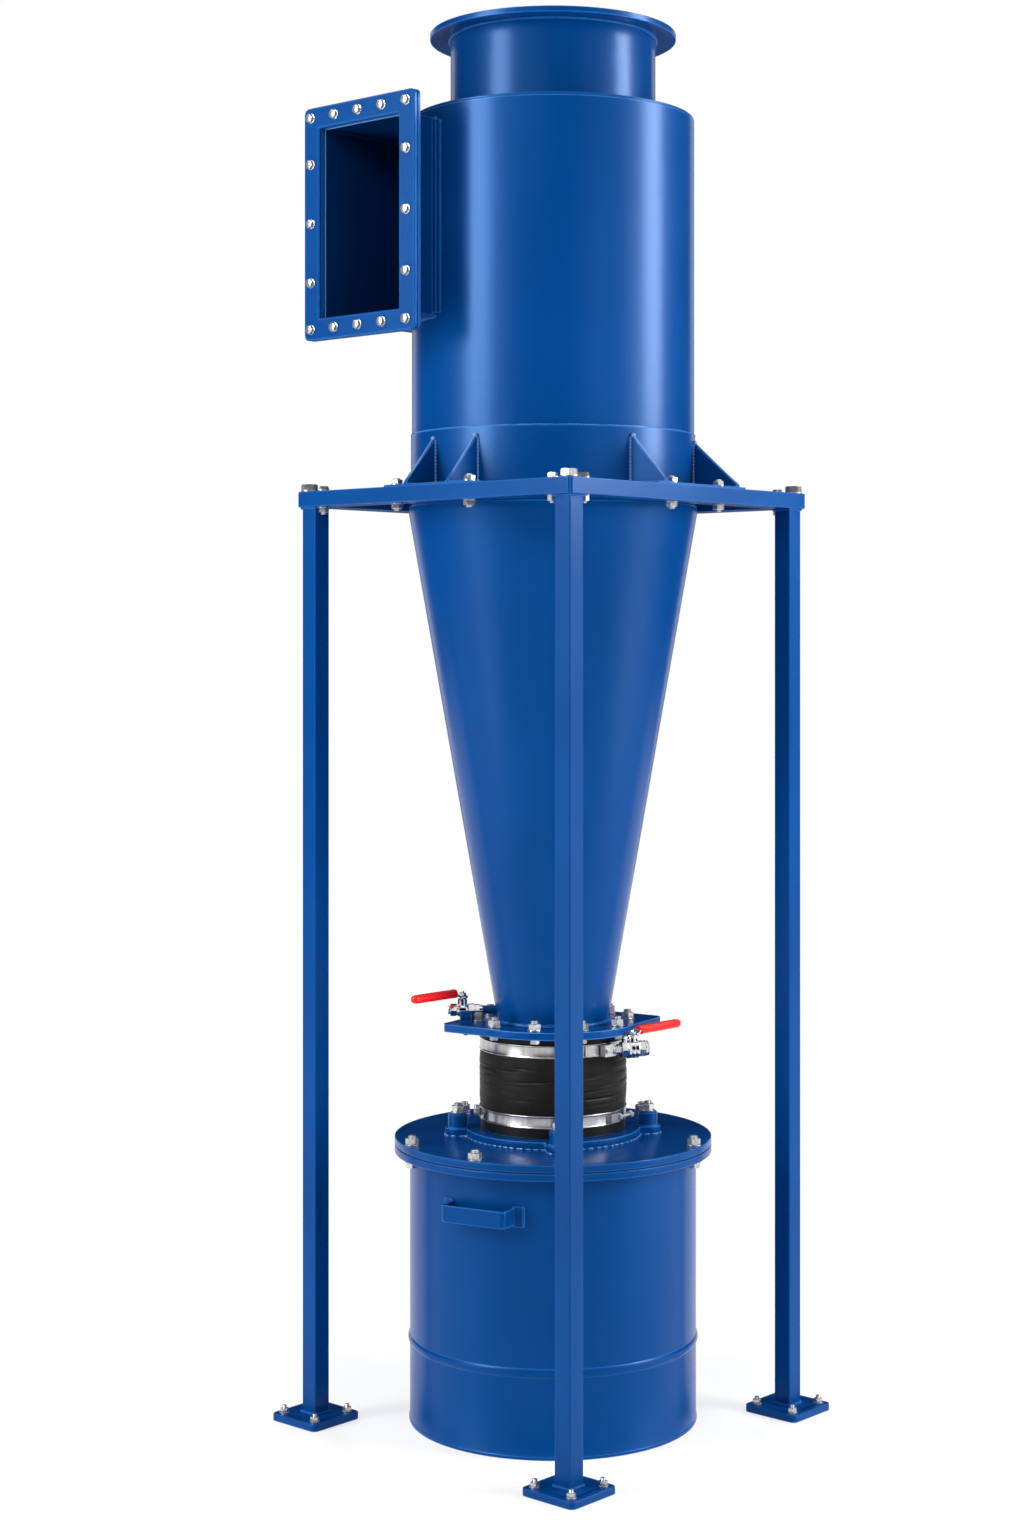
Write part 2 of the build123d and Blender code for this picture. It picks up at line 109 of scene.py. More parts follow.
class Finish(Nodes):
    def __init__(self, name, plain):
        self.material = bpy.data.materials.new(name)
        super().__init__(self.material)
        self.shader = self.tree.nodes["Principled BSDF"]
        for socket, value in plain.items():
            self.shader.inputs[socket].default_value = value

    def place(self, stretch=(1, 1, 1)):
        spot = self.node("ShaderNodeTexCoord", output="Object")
        return self.node("ShaderNodeMapping", None, {"Vector": spot, "Scale": stretch})

    def noise(self, scale, detail=2.0, rough=0.5, stretch=(1, 1, 1)):
        values = {"Vector": self.place(stretch), "Scale": scale, "Detail": detail, "Roughness": rough}
        return self.node("ShaderNodeTexNoise", None, values)

    def ramp(self, value, stops):
        return self.node("ShaderNodeValToRGB", {"stops": stops}, {"Fac": value})

    def tint(self, factor, *pair):
        first, second = [c if isinstance(c, Wire) else (*c, 1) for c in pair]
        values = {0: factor, 6: first, 7: second}
        return self.node("ShaderNodeMix", {"data_type": "RGBA"}, values, output=2)

    def rim(self, radius, stops):
        # 1 along the edges, where the rounded normal leaves the face's own; it masks the painted edge
        # highlight
        soft = self.node("ShaderNodeBevel", {"samples": 6}, {"Radius": radius})
        flat = self.node("ShaderNodeNewGeometry", output="True Normal")
        values = {0: soft, 1: flat}
        match = self.node("ShaderNodeVectorMath", {"operation": "DOT_PRODUCT"}, values, output="Value")
        return self.ramp(1 - match, stops)

    def bump(self, height, strength, depth, under=None):
        values = {"Height": height, "Strength": strength, "Distance": depth}
        if under:
            values["Normal"] = under
        return self.node("ShaderNodeBump", None, values)

    def set(self, socket, value):
        self.feed(self.shader.inputs[socket], value)


def paintFinish(name, deep, light, gloss, coat, hammer, shadeMask=None):
    # powder coat: an even colour with a fine orange-peel skin
    # the optional mask picks the insides, where painted shade darkens the colour
    plain = {"Coat Weight": coat, "Coat Roughness": 0.14, "Specular IOR Level": 0.2}
    paint = Finish(name, {**plain, "Specular Tint": (0.30, 0.58, 1.0, 1)})
    broad = paint.noise(2.6, 2.0)
    fine = paint.noise(190, 2.0, 0.55)
    even = paint.tint(paint.ramp(broad, [(0.3, 0), (0.7, 1)]), deep, light)
    # painted highlight: a pale blue is mixed in along the edges, standing in for the light that edges catch
    colour = paint.tint(0.85 * paint.rim(0.004, [(0.02, 0), (0.14, 1)]), even, paints["edge"])
    # painted shade: the insides are mixed toward a near black blue, standing in for the shade that falls
    # inside
    if shadeMask:
        colour = paint.tint(0.62 * shadeMask(paint), colour, paints["inside"])
    paint.set("Base Color", colour)
    paint.set("Roughness", gloss + 0.02 * fine + 0.04 * broad)
    peel = paint.bump(fine, hammer, 0.0007)
    paint.set("Normal", paint.bump(paint.noise(52, 1.0), hammer * 0.4, 0.0016, peel))
    return paint.material


def metalFinish(name, colour, dull, spread, grain, stretch=(1, 1, 1), depth=0.05, bare=1.0):
    metal = Finish(name, {"Metallic": bare})
    streak = metal.noise(grain, 3.0, 0.6, stretch)
    worn = tuple(0.80 * c for c in colour)
    metal.set("Base Color", metal.tint(metal.ramp(streak, [(0.35, 0), (0.65, 1)]), worn, colour))
    metal.set("Roughness", dull + spread * streak)
    metal.set("Normal", metal.bump(streak, depth, 0.0004))
    return metal.material


def vinylFinish():
    vinyl = Finish("redVinyl", {"Coat Weight": 0.2, "Coat Roughness": 0.10, "Specular IOR Level": 0.2})
    soft = vinyl.noise(60, 2.0)
    vinyl.set("Base Color", vinyl.tint(soft, (0.74, 0.008, 0.006), (0.86, 0.014, 0.010)))
    vinyl.set("Roughness", 0.30 + 0.06 * soft)
    vinyl.set("Normal", vinyl.bump(vinyl.noise(420, 2.0), 0.10, 0.0004))
    return vinyl.material


def rubberFinish(name, deep, light, dull, weave):
    # coated fabric: two crossed thread directions under a dusty skin
    rubber = Finish(name, {"Specular IOR Level": 0.12})
    dust = rubber.noise(16, 4.0, 0.6)
    along = rubber.noise(520, 1.0, 0.5, (1, 1, 0.18))
    across = rubber.noise(520, 1.0, 0.5, (0.18, 0.18, 1))
    rubber.set("Base Color", rubber.tint(rubber.ramp(dust, [(0.35, 0), (0.75, 1)]), deep, light))
    rubber.set("Roughness", dull + 0.16 * dust)
    threads = rubber.bump(along * 0.5 + across * 0.5, weave, 0.0010)
    rubber.set("Normal", rubber.bump(dust, 0.30, 0.002, threads))
    return rubber.material


# edge is the painted highlight along edges; inside is the painted shade inside the duct and the barrel
paints = {
    "deep": (0.0002, 0.036, 0.160), "light": (0.0004, 0.045, 0.196), "valve": (0.0004, 0.030, 0.135),
    "edge": (0.03, 0.19, 0.58), "inside": (0.0001, 0.008, 0.036),
}
blueCoat = (paints["deep"], paints["light"], 0.23, 0.0, 0.15)
bluePaint = paintFinish("bluePaint", *blueCoat)
valvePaint = paintFinish("valvePaint", paints["deep"], paints["valve"], 0.22, 0.15, 0.20)
# painted highlight: weld crowns get a paler blue, standing in for the light the beads catch
weldHighlightPaint = paintFinish("weldHighlightPaint", (0.06, 0.15, 0.36), (0.16, 0.28, 0.50), 0.18, 0.55, 0.10)
boltZinc = metalFinish("boltZinc", (0.56, 0.57, 0.58), 0.17, 0.11, 220, bare=0.80)
studZinc = metalFinish("studZinc", (0.48, 0.48, 0.50), 0.30, 0.20, 260)
bandSteel = metalFinish("bandSteel", (0.54, 0.54, 0.55), 0.18, 0.06, 70, (1, 1, 0.03), 0.01)
barChrome = metalFinish("barChrome", (0.74, 0.75, 0.76), 0.09, 0.08, 120)
redVinyl = vinylFinish()
sleeveRubber = rubberFinish("sleeveRubber", (0.003, 0.0028, 0.0026), (0.010, 0.0094, 0.0088), 0.36, 0.50)
gasketRubber = rubberFinish("gasketRubber", (0.010, 0.010, 0.011), (0.022, 0.022, 0.024), 0.55, 0.20)
print("finishes made")


# Mesh helpers, all in millimetres


def skin(bm, rings, closed=False):
    pairs = list(zip(rings, rings[1:]))
    if closed:
        pairs.append((rings[-1], rings[0]))
    for one, two in pairs:
        count = max(len(one), len(two))
        for k in range(count):
            n = (k + 1) % count
            corners = [one[k % len(one)], one[n % len(one)], two[n % len(two)], two[k % len(two)]]
            corners = list(dict.fromkeys(corners))
            if len(corners) > 2:
                bm.faces.new(corners)


def turned(bm, profile, place=Matrix(), segments=24, closed=False):
    # profile is (radius, height) pairs; a radius of 0 is the pole that closes it
    angles = [math.tau * k / segments for k in range(segments)]
    rings = []
    for radius, height in profile:
        spots = [(radius * math.cos(a), radius * math.sin(a), height) for a in angles]
        if radius < 1e-6:
            spots = [(0, 0, height)]
        rings.append([bm.verts.new(place @ Vector(spot)) for spot in spots])
    skin(bm, rings, closed)


def rounded(points, radius, steps=3, closed=True):
    # each corner of an outline becomes a short arc
    made = []
    for i, point in enumerate(points):
        if not closed and i in (0, len(points) - 1):
            made.append(tuple(point))
            continue
        corner = Vector(point)
        back = Vector(points[i - 1]) - corner
        ahead = Vector(points[(i + 1) % len(points)]) - corner
        reach = min(radius, back.length * 0.46, ahead.length * 0.46)
        first = corner + back.normalized() * reach
        last = corner + ahead.normalized() * reach
        for k in range(steps + 1):
            t = k / steps
            made.append(tuple((1 - t) ** 2 * first + 2 * t * (1 - t) * corner + t * t * last))
    return made


def hexagon(bm, place, across, low, high, bothEnds=False):
    # a hexagon with the round chamfer of a turned nut
    segments = 36
    crown = across * 0.475
    angles = [math.tau * k / segments for k in range(segments)]
    reach = [across / 2 / math.cos((a + math.pi / 6) % (math.pi / 3) - math.pi / 6) for a in angles]
    cut = [(r - crown) * 0.58 for r in reach]

    def ring(radii, heights):
        spots = zip(radii, heights, angles)
        return [bm.verts.new(place @ Vector((r * math.cos(a), r * math.sin(a), h))) for r, h, a in spots]

    rings = [[bm.verts.new(place @ Vector((0, 0, low)))]]
    if bothEnds:
        rings.append(ring([crown] * segments, [low] * segments))
        rings.append(ring(reach, [low + c for c in cut]))
    else:
        rings.append(ring(reach, [low] * segments))
    rings.append(ring(reach, [high - c for c in cut]))
    rings.append(ring([crown] * segments, [high] * segments))
    rings.append([bm.verts.new(place @ Vector((0, 0, high)))])
    skin(bm, rings)


def thread(bm, place, radius, low, high, pitch):
    root = radius * 0.88
    profile = [(0, low), (root, low)]
    turns = max(1, round((high - low) / pitch))
    step = (high - low) / turns
    for k in range(turns):
        profile += [(radius, low + (k + 0.35) * step), (root, low + (k + 0.9) * step)]
    profile += [(radius * 0.72, high), (0, high)]
    turned(bm, profile, place, 16)


def spaced(points, step, closed=False):
    # the same path with a point every step
    path = [Vector(p) for p in points]
    if closed:
        path.append(path[0])
    made = []
    for one, two in zip(path, path[1:]):
        count = max(1, round((two - one).length / step))
        made += [one.lerp(two, k / count) for k in range(count)]
    if not closed:
        made.append(path[-1])
    return made


def bead(bm, points, radius, closed=False, ripple=0.16, pitch=7.0):
    # a weld run: a round string whose size swells at every ripple
    path = spaced(points, pitch / 4, closed)
    rings = []
    run = wander = 0.0
    count, sides = len(path), 8
    spin = [math.tau * s / sides for s in range(sides)]
    for k, spot in enumerate(path):
        before = path[k - 1] if closed or k else path[0]
        after = path[(k + 1) % count] if closed or k < count - 1 else path[-1]
        ahead = (after - before).normalized()
        side = ahead.cross(Vector((0, 0, 1)))
        side = side.normalized() if side.length > 0.1 else ahead.cross(Vector((1, 0.3, 0))).normalized()
        up = side.cross(ahead)
        run += pitch / 4
        wander = 0.8 * wander + random.uniform(-0.05, 0.05)
        size = radius * (1 + ripple * math.sin(math.tau * run / pitch) + wander)
        if not closed and k in (0, count - 1):
            size *= 0.35
        rings.append([bm.verts.new(spot + size * (math.cos(a) * side + math.sin(a) * up)) for a in spin])
    skin(bm, rings, closed)
    if not closed:
        for end in (rings[0], rings[-1]):
            bm.faces.new(end)


def dashes(bm, points, radius, long, gap):
    # a broken run of short beads
    step = 2.0
    path = spaced(points, step, True)
    start = 0
    while start < len(path):
        end = start + round(random.uniform(0.75, 1.25) * long / step)
        if end < len(path):
            bead(bm, path[start : end + 1], radius)
        start = end + round(random.uniform(0.6, 1.4) * gap / step)


def rectangle(x, y):
    return [(-x, -y), (x, -y), (x, y), (-x, y)]


def section(inner, outer, low, high):
    # an upright rectangle, as (radius, height) pairs
    return [(inner, low), (outer, low), (outer, high), (inner, high)]


def framed(bm, place, half, opening, low, high, corner, edge):
    # a flat frame with rounded corners around a rectangular opening
    rings = []
    levels = [(half, -edge, low), (half, 0, low + edge), (half, 0, high - edge), (half, -edge, high)]
    levels += [(opening, edge, high), (opening, 0, high - edge)]
    levels += [(opening, 0, low + edge), (opening, edge, low)]
    for size, grow, z in levels:
        x, y = size[0] + grow, size[1] + grow
        radius = corner if size is half else edge
        outline = rounded(rectangle(x, y), radius, 6)
        rings.append([bm.verts.new(place @ Vector((*spot, z))) for spot in outline])
    skin(bm, rings, True)


def slab(bm, outline, low, high, place=Matrix()):
    lower = [bm.verts.new(place @ Vector((x, y, low))) for x, y in outline]
    upper = [bm.verts.new(place @ Vector((x, y, high))) for x, y in outline]
    skin(bm, [lower, upper])
    bm.faces.new(lower)
    bm.faces.new(upper)


def box(bm, size, place=Matrix()):
    x, y, z = (s / 2 for s in size)
    slab(bm, rectangle(x, y), -z, z, place)


def at(x, y, z, facing="Z"):
    # a place whose own Z looks along the named axis
    looks = {
        "Z": Matrix(),
        "-Z": Matrix.Rotation(math.pi, 4, "X"),
        "-Y": Matrix.Rotation(math.pi / 2, 4, "X"),
        "Y": Matrix.Rotation(-math.pi / 2, 4, "X"),
    }
    return Matrix.Translation((x, y, z)) @ looks[facing]


def around(angle, radius=0.0, z=0.0):
    # a place on the cyclone: X points out from the axis at this angle, Z stays up
    return Matrix.Rotation(math.radians(angle), 4, "Z") @ Matrix.Translation((radius, 0, z))


def polar(radius, angle, z=0.0):
    return Vector((radius * math.cos(math.radians(angle)), radius * math.sin(math.radians(angle)), z))


def circle(radius, z):
    return [polar(radius, angle, z) for angle in range(0, 360, 2)]


boltSizes = {
    "m10": {"across": 16, "head": 7, "nut": 8, "washer": 10.5, "thick": 2, "thread": 5},
    "m12": {"across": 18, "head": 8, "nut": 10, "washer": 12, "thick": 2.5, "thread": 6},
    "m14": {"across": 21, "head": 8, "nut": 9, "washer": 13, "thick": 2.5, "thread": 6.5},
    "m16": {"across": 24, "head": 10, "nut": 12, "washer": 14.5, "thick": 3, "thread": 8},
    "m20": {"across": 30, "head": 13, "nut": 16, "washer": 18, "thick": 3, "thread": 10},
}


def washer(bm, place, outer, thick):
    profile = rounded(section(0, outer, 0, thick), 0.8, 2, closed=False)
    turned(bm, profile, place, 32)


def boltHead(bm, place, size):
    s = boltSizes[size]
    own = place @ Matrix.Rotation(math.radians(random.uniform(0, 60)), 4, "Z")
    washer(bm, own, s["washer"], s["thick"])
    hexagon(bm, own, s["across"], s["thick"], s["thick"] + s["head"])


def boltNut(bm, place, size, spare=8):
    s = boltSizes[size]
    own = place @ Matrix.Rotation(random.uniform(0, 1), 4, "Z")
    washer(bm, own, s["washer"], s["thick"])
    hexagon(bm, own, s["across"], s["thick"], s["thick"] + s["nut"], True)
    top = s["thick"] + s["nut"]
    thread(bm, own, s["thread"], top - 1, top + spare, 2.0)


def capNut(bm, place, size):
    # washer, hexagon and dome
    s = boltSizes[size]
    own = place @ Matrix.Rotation(random.uniform(0, 1), 4, "Z")
    washer(bm, own, s["washer"], s["thick"])
    top = s["thick"] + s["head"] * 0.8
    hexagon(bm, own, s["across"], s["thick"], top)
    r = s["across"] * 0.43
    steps = [math.radians(a) for a in range(0, 90, 15)]
    foot, rise = top - 0.5, 0.85 * r
    dome = [(r * math.cos(a), foot + rise * math.sin(a)) for a in steps]
    turned(bm, dome + [(0, foot + rise)], own, 24)


def toMetres(bm):
    for vert in bm.verts:
        vert.co *= mm
    bmesh.ops.recalc_face_normals(bm, faces=bm.faces)


def solid(name, bm, finish):
    # the object of a finished mesh, which is in metres by now
    mesh = bpy.data.meshes.new(name)
    bm.to_mesh(mesh)
    bm.free()
    mesh.materials.append(finish)
    made = bpy.data.objects.new(name, mesh)
    bpy.context.scene.collection.objects.link(made)
    return made


def piece(name, bm, finish, body="separator", nodes=(), bevel=0.0, sharp=34):
    toMetres(bm)
    made = solid(name, bm, finish)
    made.data.shade_smooth()
    made.data.set_sharp_from_angle(angle=math.radians(sharp))
    if bevel:
        soften(made, bevel)
    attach(made, body)
    if nodes:
        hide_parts(*nodes)


def lathed(name, node, finish, outline, radius, steps=3, segments=176):
    # a closed outline with soft corners, turned about the cyclone's axis
    bm = bmesh.new()
    turned(bm, rounded(outline, radius, steps), segments=segments, closed=True)
    piece(name, bm, finish, nodes=[node])


def soften(made, width, weld=False):
    if weld:
        joined = made.modifiers.new("joined", "WELD")
        joined.merge_threshold = 0.02 * mm
    edge = made.modifiers.new("edge", "BEVEL")
    edge.width = width * mm
    edge.segments = 2
    edge.limit_method = "ANGLE"
    edge.angle_limit = math.radians(32)
    edge.harden_normals = True


def dress(node, finish, bevel=0.0):
    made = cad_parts[node]
    made.data.materials.clear()
    made.data.materials.append(finish)
    if bevel:
        soften(made, bevel, weld=True)


# Outlet, roof and barrel

outlet = {
    "pipe": 215, "wall": 4, "flange": 258, "flangeLow": 2883, "flangeTop": 2895,
    "pipeLow": 2250, "roof": 2715,
}


def makeOutlet():
    o = outlet
    pipe = section(o["pipe"] - o["wall"], o["pipe"], o["pipeLow"], o["flangeTop"] - 2)
    lathed("outletPipe", "outlet_pipe", barrelPaint, pipe, 1.2, segments=144)
    flange = section(o["pipe"], o["flange"], o["flangeLow"], o["flangeTop"])
    lathed("outletFlange", "outlet_flange", bluePaint, flange, 1.4, segments=160)
    bm = bmesh.new()
    bead(bm, circle(o["pipe"] + 1.5, o["flangeLow"] - 1), 3.2, True)
    bead(bm, circle(o["pipe"] + 1.5, o["roof"] + 1), 3.6, True)
    bead(bm, circle(o["pipe"] - 0.5, o["flangeTop"] - 2), 2.4, True)
    piece("outletWelds", bm, bluePaint)


barrel = {
    "radius": 296, "wall": 4, "seam": 2054, "under": 2709, "top": 2715, "skirt": 298, "skirtLow": 1890,
}
duct = {"far": -296, "near": -56, "wall": 4, "low": 2289, "high": 2681, "wallCut": -59.2, "lip": 10}


def barrelShadeMask(paint):
    # 1 on what is inside the barrel, the foot of the outlet pipe with it: the places that get painted shade
    spot = paint.node("ShaderNodeTexCoord", output="Object")
    level = paint.node("ShaderNodeVectorMath", {"operation": "MULTIPLY"}, {0: spot, 1: (1, 1, 0)})
    reach = paint.node("ShaderNodeVectorMath", {"operation": "LENGTH"}, {0: level}, output="Value")
    height = paint.node("ShaderNodeSeparateXYZ", None, {0: spot}, output="Z")
    within = reach.join("LESS_THAN", reach, (barrel["radius"] - barrel["wall"] / 2) * mm)
    return within * height.join("LESS_THAN", height, barrel["under"] * mm)


# the barrel's paint, with painted shade on its inside
barrelPaint = paintFinish("barrelPaint", *blueCoat, barrelShadeMask)


def makeBarrel():
    b = barrel
    roof = section(outlet["pipe"], b["radius"], b["under"], b["top"])
    lathed("roofPlate", "roof_plate", bluePaint, roof, 2.4, 4, 160)

    # the upper barrel is a shell with the duct's mouth left open
    bm = bmesh.new()
    first = math.atan2(duct["wallCut"], -math.sqrt(b["radius"] ** 2 - duct["wallCut"] ** 2)) + math.tau
    edge = duct["near"] - duct["wall"]
    last = math.atan2(-math.sqrt(b["radius"] ** 2 - edge**2), edge) + math.tau
    mouth, rest = 32, 128
    angles = [first + (last - first) * k / mouth for k in range(mouth)]
    angles += [last + (first + math.tau - last) * k / rest for k in range(rest)]
    heights = [b["seam"], duct["low"], duct["high"], b["under"]]
    grids = []
    for radius in (b["radius"], b["radius"] - b["wall"]):
        ring = [(radius * math.cos(a), radius * math.sin(a)) for a in angles]
        rows = [[bm.verts.new((x, y, z)) for x, y in ring] for z in heights]
        grids.append(rows)
        for level in range(3):
            for k in range(mouth + rest):
                if level == 1 and k < mouth:
                    continue
                n = (k + 1) % (mouth + rest)
                bm.faces.new([rows[level][k], rows[level][n], rows[level + 1][n], rows[level + 1][k]])
    outer, inner = grids
    for level in (0, 3):
        skin(bm, [outer[level], inner[level]])
    for level in (1, 2):
        for k in range(mouth):
            bm.faces.new([outer[level][k], outer[level][k + 1], inner[level][k + 1], inner[level][k]])
    for k in (0, mouth):
        bm.faces.new([outer[1][k], outer[2][k], inner[2][k], inner[1][k]])
    piece("barrelUpper", bm, barrelPaint, nodes=["barrel_upper"])

    skirt = section(b["skirt"] - b["wall"], b["skirt"], b["skirtLow"], b["seam"])
    lathed("barrelLower", "barrel_lower", bluePaint, skirt, 1.0, segments=160)

    bm = bmesh.new()
    bead(bm, circle(b["skirt"] - 1.0, b["seam"] + 0.5), 1.5, True, 0.30, 9.0)
    piece("seamWeld", bm, bluePaint)
    # the seam's crowns carry the painted weld highlight
    bm = bmesh.new()
    dashes(bm, circle(b["skirt"] - 0.3, b["seam"] + 0.9), 0.8, 90, 12)
    piece("seamCrowns", bm, weldHighlightPaint)


# Cone, with its collar under the platform

cone = {"foot": 116, "wall": 4, "low": 829, "top": 1890, "wide": 302, "collar": 1905}


def makeCone():
    c = cone
    ring = [(c["foot"] - c["wall"], c["low"]), (c["foot"], c["low"]), (c["wide"], c["top"])]
    inside = c["wide"] - c["wall"]
    ring += [(c["wide"], c["collar"]), (inside, c["collar"]), (inside, c["top"])]
    lathed("cone", "cone", bluePaint, ring, 1.0)
    bm = bmesh.new()
    bead(bm, circle(c["foot"] + 2.0, c["low"] + 2.5), 4.6, True, 0.10, 8.0)
    piece("coneWelds", bm, bluePaint)
    dress("cone_flange", bluePaint, 1.6)
    dress("cone_spigot", bluePaint)


footFlange = {"top": 829, "under": 813, "circle": 157, "count": 10, "first": -62.5, "ear": (183.5, -135)}


def makeFootFlangeBolts():
    f = footFlange
    heads, nuts = bmesh.new(), bmesh.new()
    for k in range(f["count"]):
        angle = f["first"] + 360 / f["count"] * k
        boltNut(nuts, at(*polar(f["circle"], angle, f["top"])), "m16", 6)
        boltHead(heads, at(*polar(f["circle"], angle, f["under"]), "-Z"), "m12")
    piece("footFlangeBolts", heads, boltZinc)
    piece("footFlangeNuts", nuts, boltZinc)
    bm = bmesh.new()
    # the stud that holds the valve's block comes out under the ear
    capNut(bm, at(*polar(*f["ear"], f["under"]), "-Z"), "m12")
    piece("earNut", bm, boltZinc)


# Inlet duct and its two flanges

inlet = {
    "x": -176, "z": 2485, "boltX": 138, "boltZ": 218, "rowX": 0.5, "rowZ": 0.56,
    "face": -398, "joint": -388, "back": -378, "half": (160, 240), "opening": (116, 196),
    "corner": 14, "edge": 2.2,
}


def ductShadeMask(paint):
    # 1 on the walls that face the air way, which get painted shade
    mask = 1.0
    for axis, middle, half in zip("XZ", (inlet["x"], inlet["z"]), inlet["opening"]):
        spot = paint.node("ShaderNodeTexCoord", output="Object")
        off = paint.node("ShaderNodeSeparateXYZ", None, {0: spot}, output=axis) - middle * mm
        off = off.join("ABSOLUTE", off, 0)
        mask = mask * off.join("LESS_THAN", off, (half + 2) * mm)
    return mask


# the duct's paint, with painted shade on the walls inside it
ductPaint = paintFinish("ductPaint", *blueCoat, ductShadeMask)


def makeInlet():
    i = inlet
    dress("inlet_duct", ductPaint, 1.0)
    place = at(i["x"], 0, i["z"], "-Y")
    layers = {
        "inletFlange": ("back", "joint", "inlet_flange"),
        "inletCounterFlange": ("joint", "face", "inlet_counter_flange"),
    }
    for name, (near, out, node) in layers.items():
        bm = bmesh.new()
        framed(bm, place, i["half"], i["opening"], -i[near], -i[out], i["corner"], i["edge"])
        piece(name, bm, bluePaint, nodes=[node])
    stepsX = (-1, -i["rowX"], 0, i["rowX"], 1)
    stepsZ = (-1, -i["rowZ"], 0, i["rowZ"], 1)
    steps = [(a, c) for a in stepsX for c in stepsZ if 1 in (abs(a), abs(c))]
    spots = [(i["x"] + a * i["boltX"], i["z"] + c * i["boltZ"]) for a, c in steps]
    heads, nuts = bmesh.new(), bmesh.new()
    for x, z in spots:
        boltHead(heads, at(x, i["face"], z, "-Y"), "m10")
        boltNut(nuts, at(x, i["back"], z, "Y"), "m10", 4)
    piece("inletBolts", heads, boltZinc)
    piece("inletNuts", nuts, boltZinc)

    bm = bmesh.new()
    d, r = duct, barrel["radius"]
    start, count = d["far"] + 14, 24
    across = [start + k * (d["near"] - start) / count for k in range(count + 1)]
    onWall = [(x, -math.sqrt(r * r - x * x)) for x in across]
    for z in (d["low"] - d["wall"] - 1, d["high"] + d["wall"] + 1):
        bead(bm, [(x, y - 1, z) for x, y in onWall], 3.4)
    lipX = d["near"] + d["lip"]
    lipY = -math.sqrt(r * r - lipX * lipX)
    bead(bm, [(lipX + 1, lipY - 1, d["low"]), (lipX + 1, lipY - 1, d["high"])], 3.0)
    left, right = d["far"] - d["wall"], d["near"]
    low, high = d["low"] - d["wall"], d["high"] + d["wall"]
    loop = [(x, i["back"] + 1, z) for x, z in section(left, right, low, high)]
    bead(bm, loop, 3.0, True)
    piece("inletWelds", bm, bluePaint)
    # a thin crown with the painted weld highlight shows inside the mouth, where the duct meets its flange
    bm = bmesh.new()
    mouth = [(i["x"] + a, i["back"] - 1, i["z"] + c) for a, c in rectangle(*i["opening"])]
    bead(bm, mouth, 1.5, True)
    piece("mouthCrown", bm, weldHighlightPaint)


# Frame: feet, legs, beams and lugs

corners = {"front": (1, -1), "left": (-1, -1), "right": (1, 1), "back": (-1, 1)}
stand = {
    "leg": 351, "half": 20, "foot": 15, "anchor": 46, "top": 1936, "under": 1904, "beamMid": 351,
    "corner": 360, "beside": 318, "plate": 4,
}


def makeStand():
    s = stand
    anchors, welds, bolts, nuts = bmesh.new(), bmesh.new(), bmesh.new(), bmesh.new()
    for side, (sx, sy) in corners.items():
        dress("foot_plate_" + side, bluePaint, 1.2)
        dress("leg_" + side, bluePaint)
        x, y, h = sx * s["leg"], sy * s["leg"], s["half"]
        for ax in (-s["anchor"], s["anchor"]):
            for ay in (-s["anchor"], s["anchor"]):
                boltNut(anchors, at(x + ax, y + ay, s["foot"]), "m10", 6)
        for z in (s["foot"] + 1.5, s["under"] - 1.5):
            bead(welds, [(x + a, y + b, z) for a, b in rectangle(h, h)], 3.4, True)
        boltHead(bolts, at(sx * s["corner"], sy * s["corner"], s["top"]), "m20")
        small = [(sx * s["beside"], sy * s["corner"])]
        if side != "right":
            small.append((sx * s["corner"], sy * s["beside"]))
        for spot in small:
            boltHead(bolts, at(*spot, s["top"]), "m12")
            boltNut(nuts, at(*spot, s["under"], "-Z"), "m12", 4)
    # the lugs' own bolts, through the beams
    for side, (turn, spots) in lugs.items():
        dress("beam_" + side, bluePaint, 1.6)
        dress("lug_" + side, bluePaint, 1.2)
        for along in spots["bolts"]:
            spot = Matrix.Rotation(math.radians(turn), 4, "Z") @ Vector((along, -s["beamMid"], 0))
            boltNut(bolts, at(spot.x, spot.y, s["top"] + s["plate"]), "m14", 3)
            boltNut(nuts, at(spot.x, spot.y, s["under"], "-Z"), "m14", 4)
    piece("anchorNuts", anchors, boltZinc)
    piece("legWelds", welds, bluePaint)
    piece("platformBolts", bolts, boltZinc)
    piece("platformNuts", nuts, boltZinc)


lugs = {
    "front": (0, {"gussets": (-64, 54), "bolts": (-111, 90)}),
    "left": (270, {"gussets": (-64, 64), "bolts": (-106, 36)}),
    "right": (90, {"gussets": (-84, 148), "bolts": (-39, 113)}),
    "back": (180, {"gussets": (-148, 84), "bolts": (-60, 36)}),
}
gusset = {"half": 4, "base": 1940, "apex": 2036, "toe": -375, "skirt": 298}


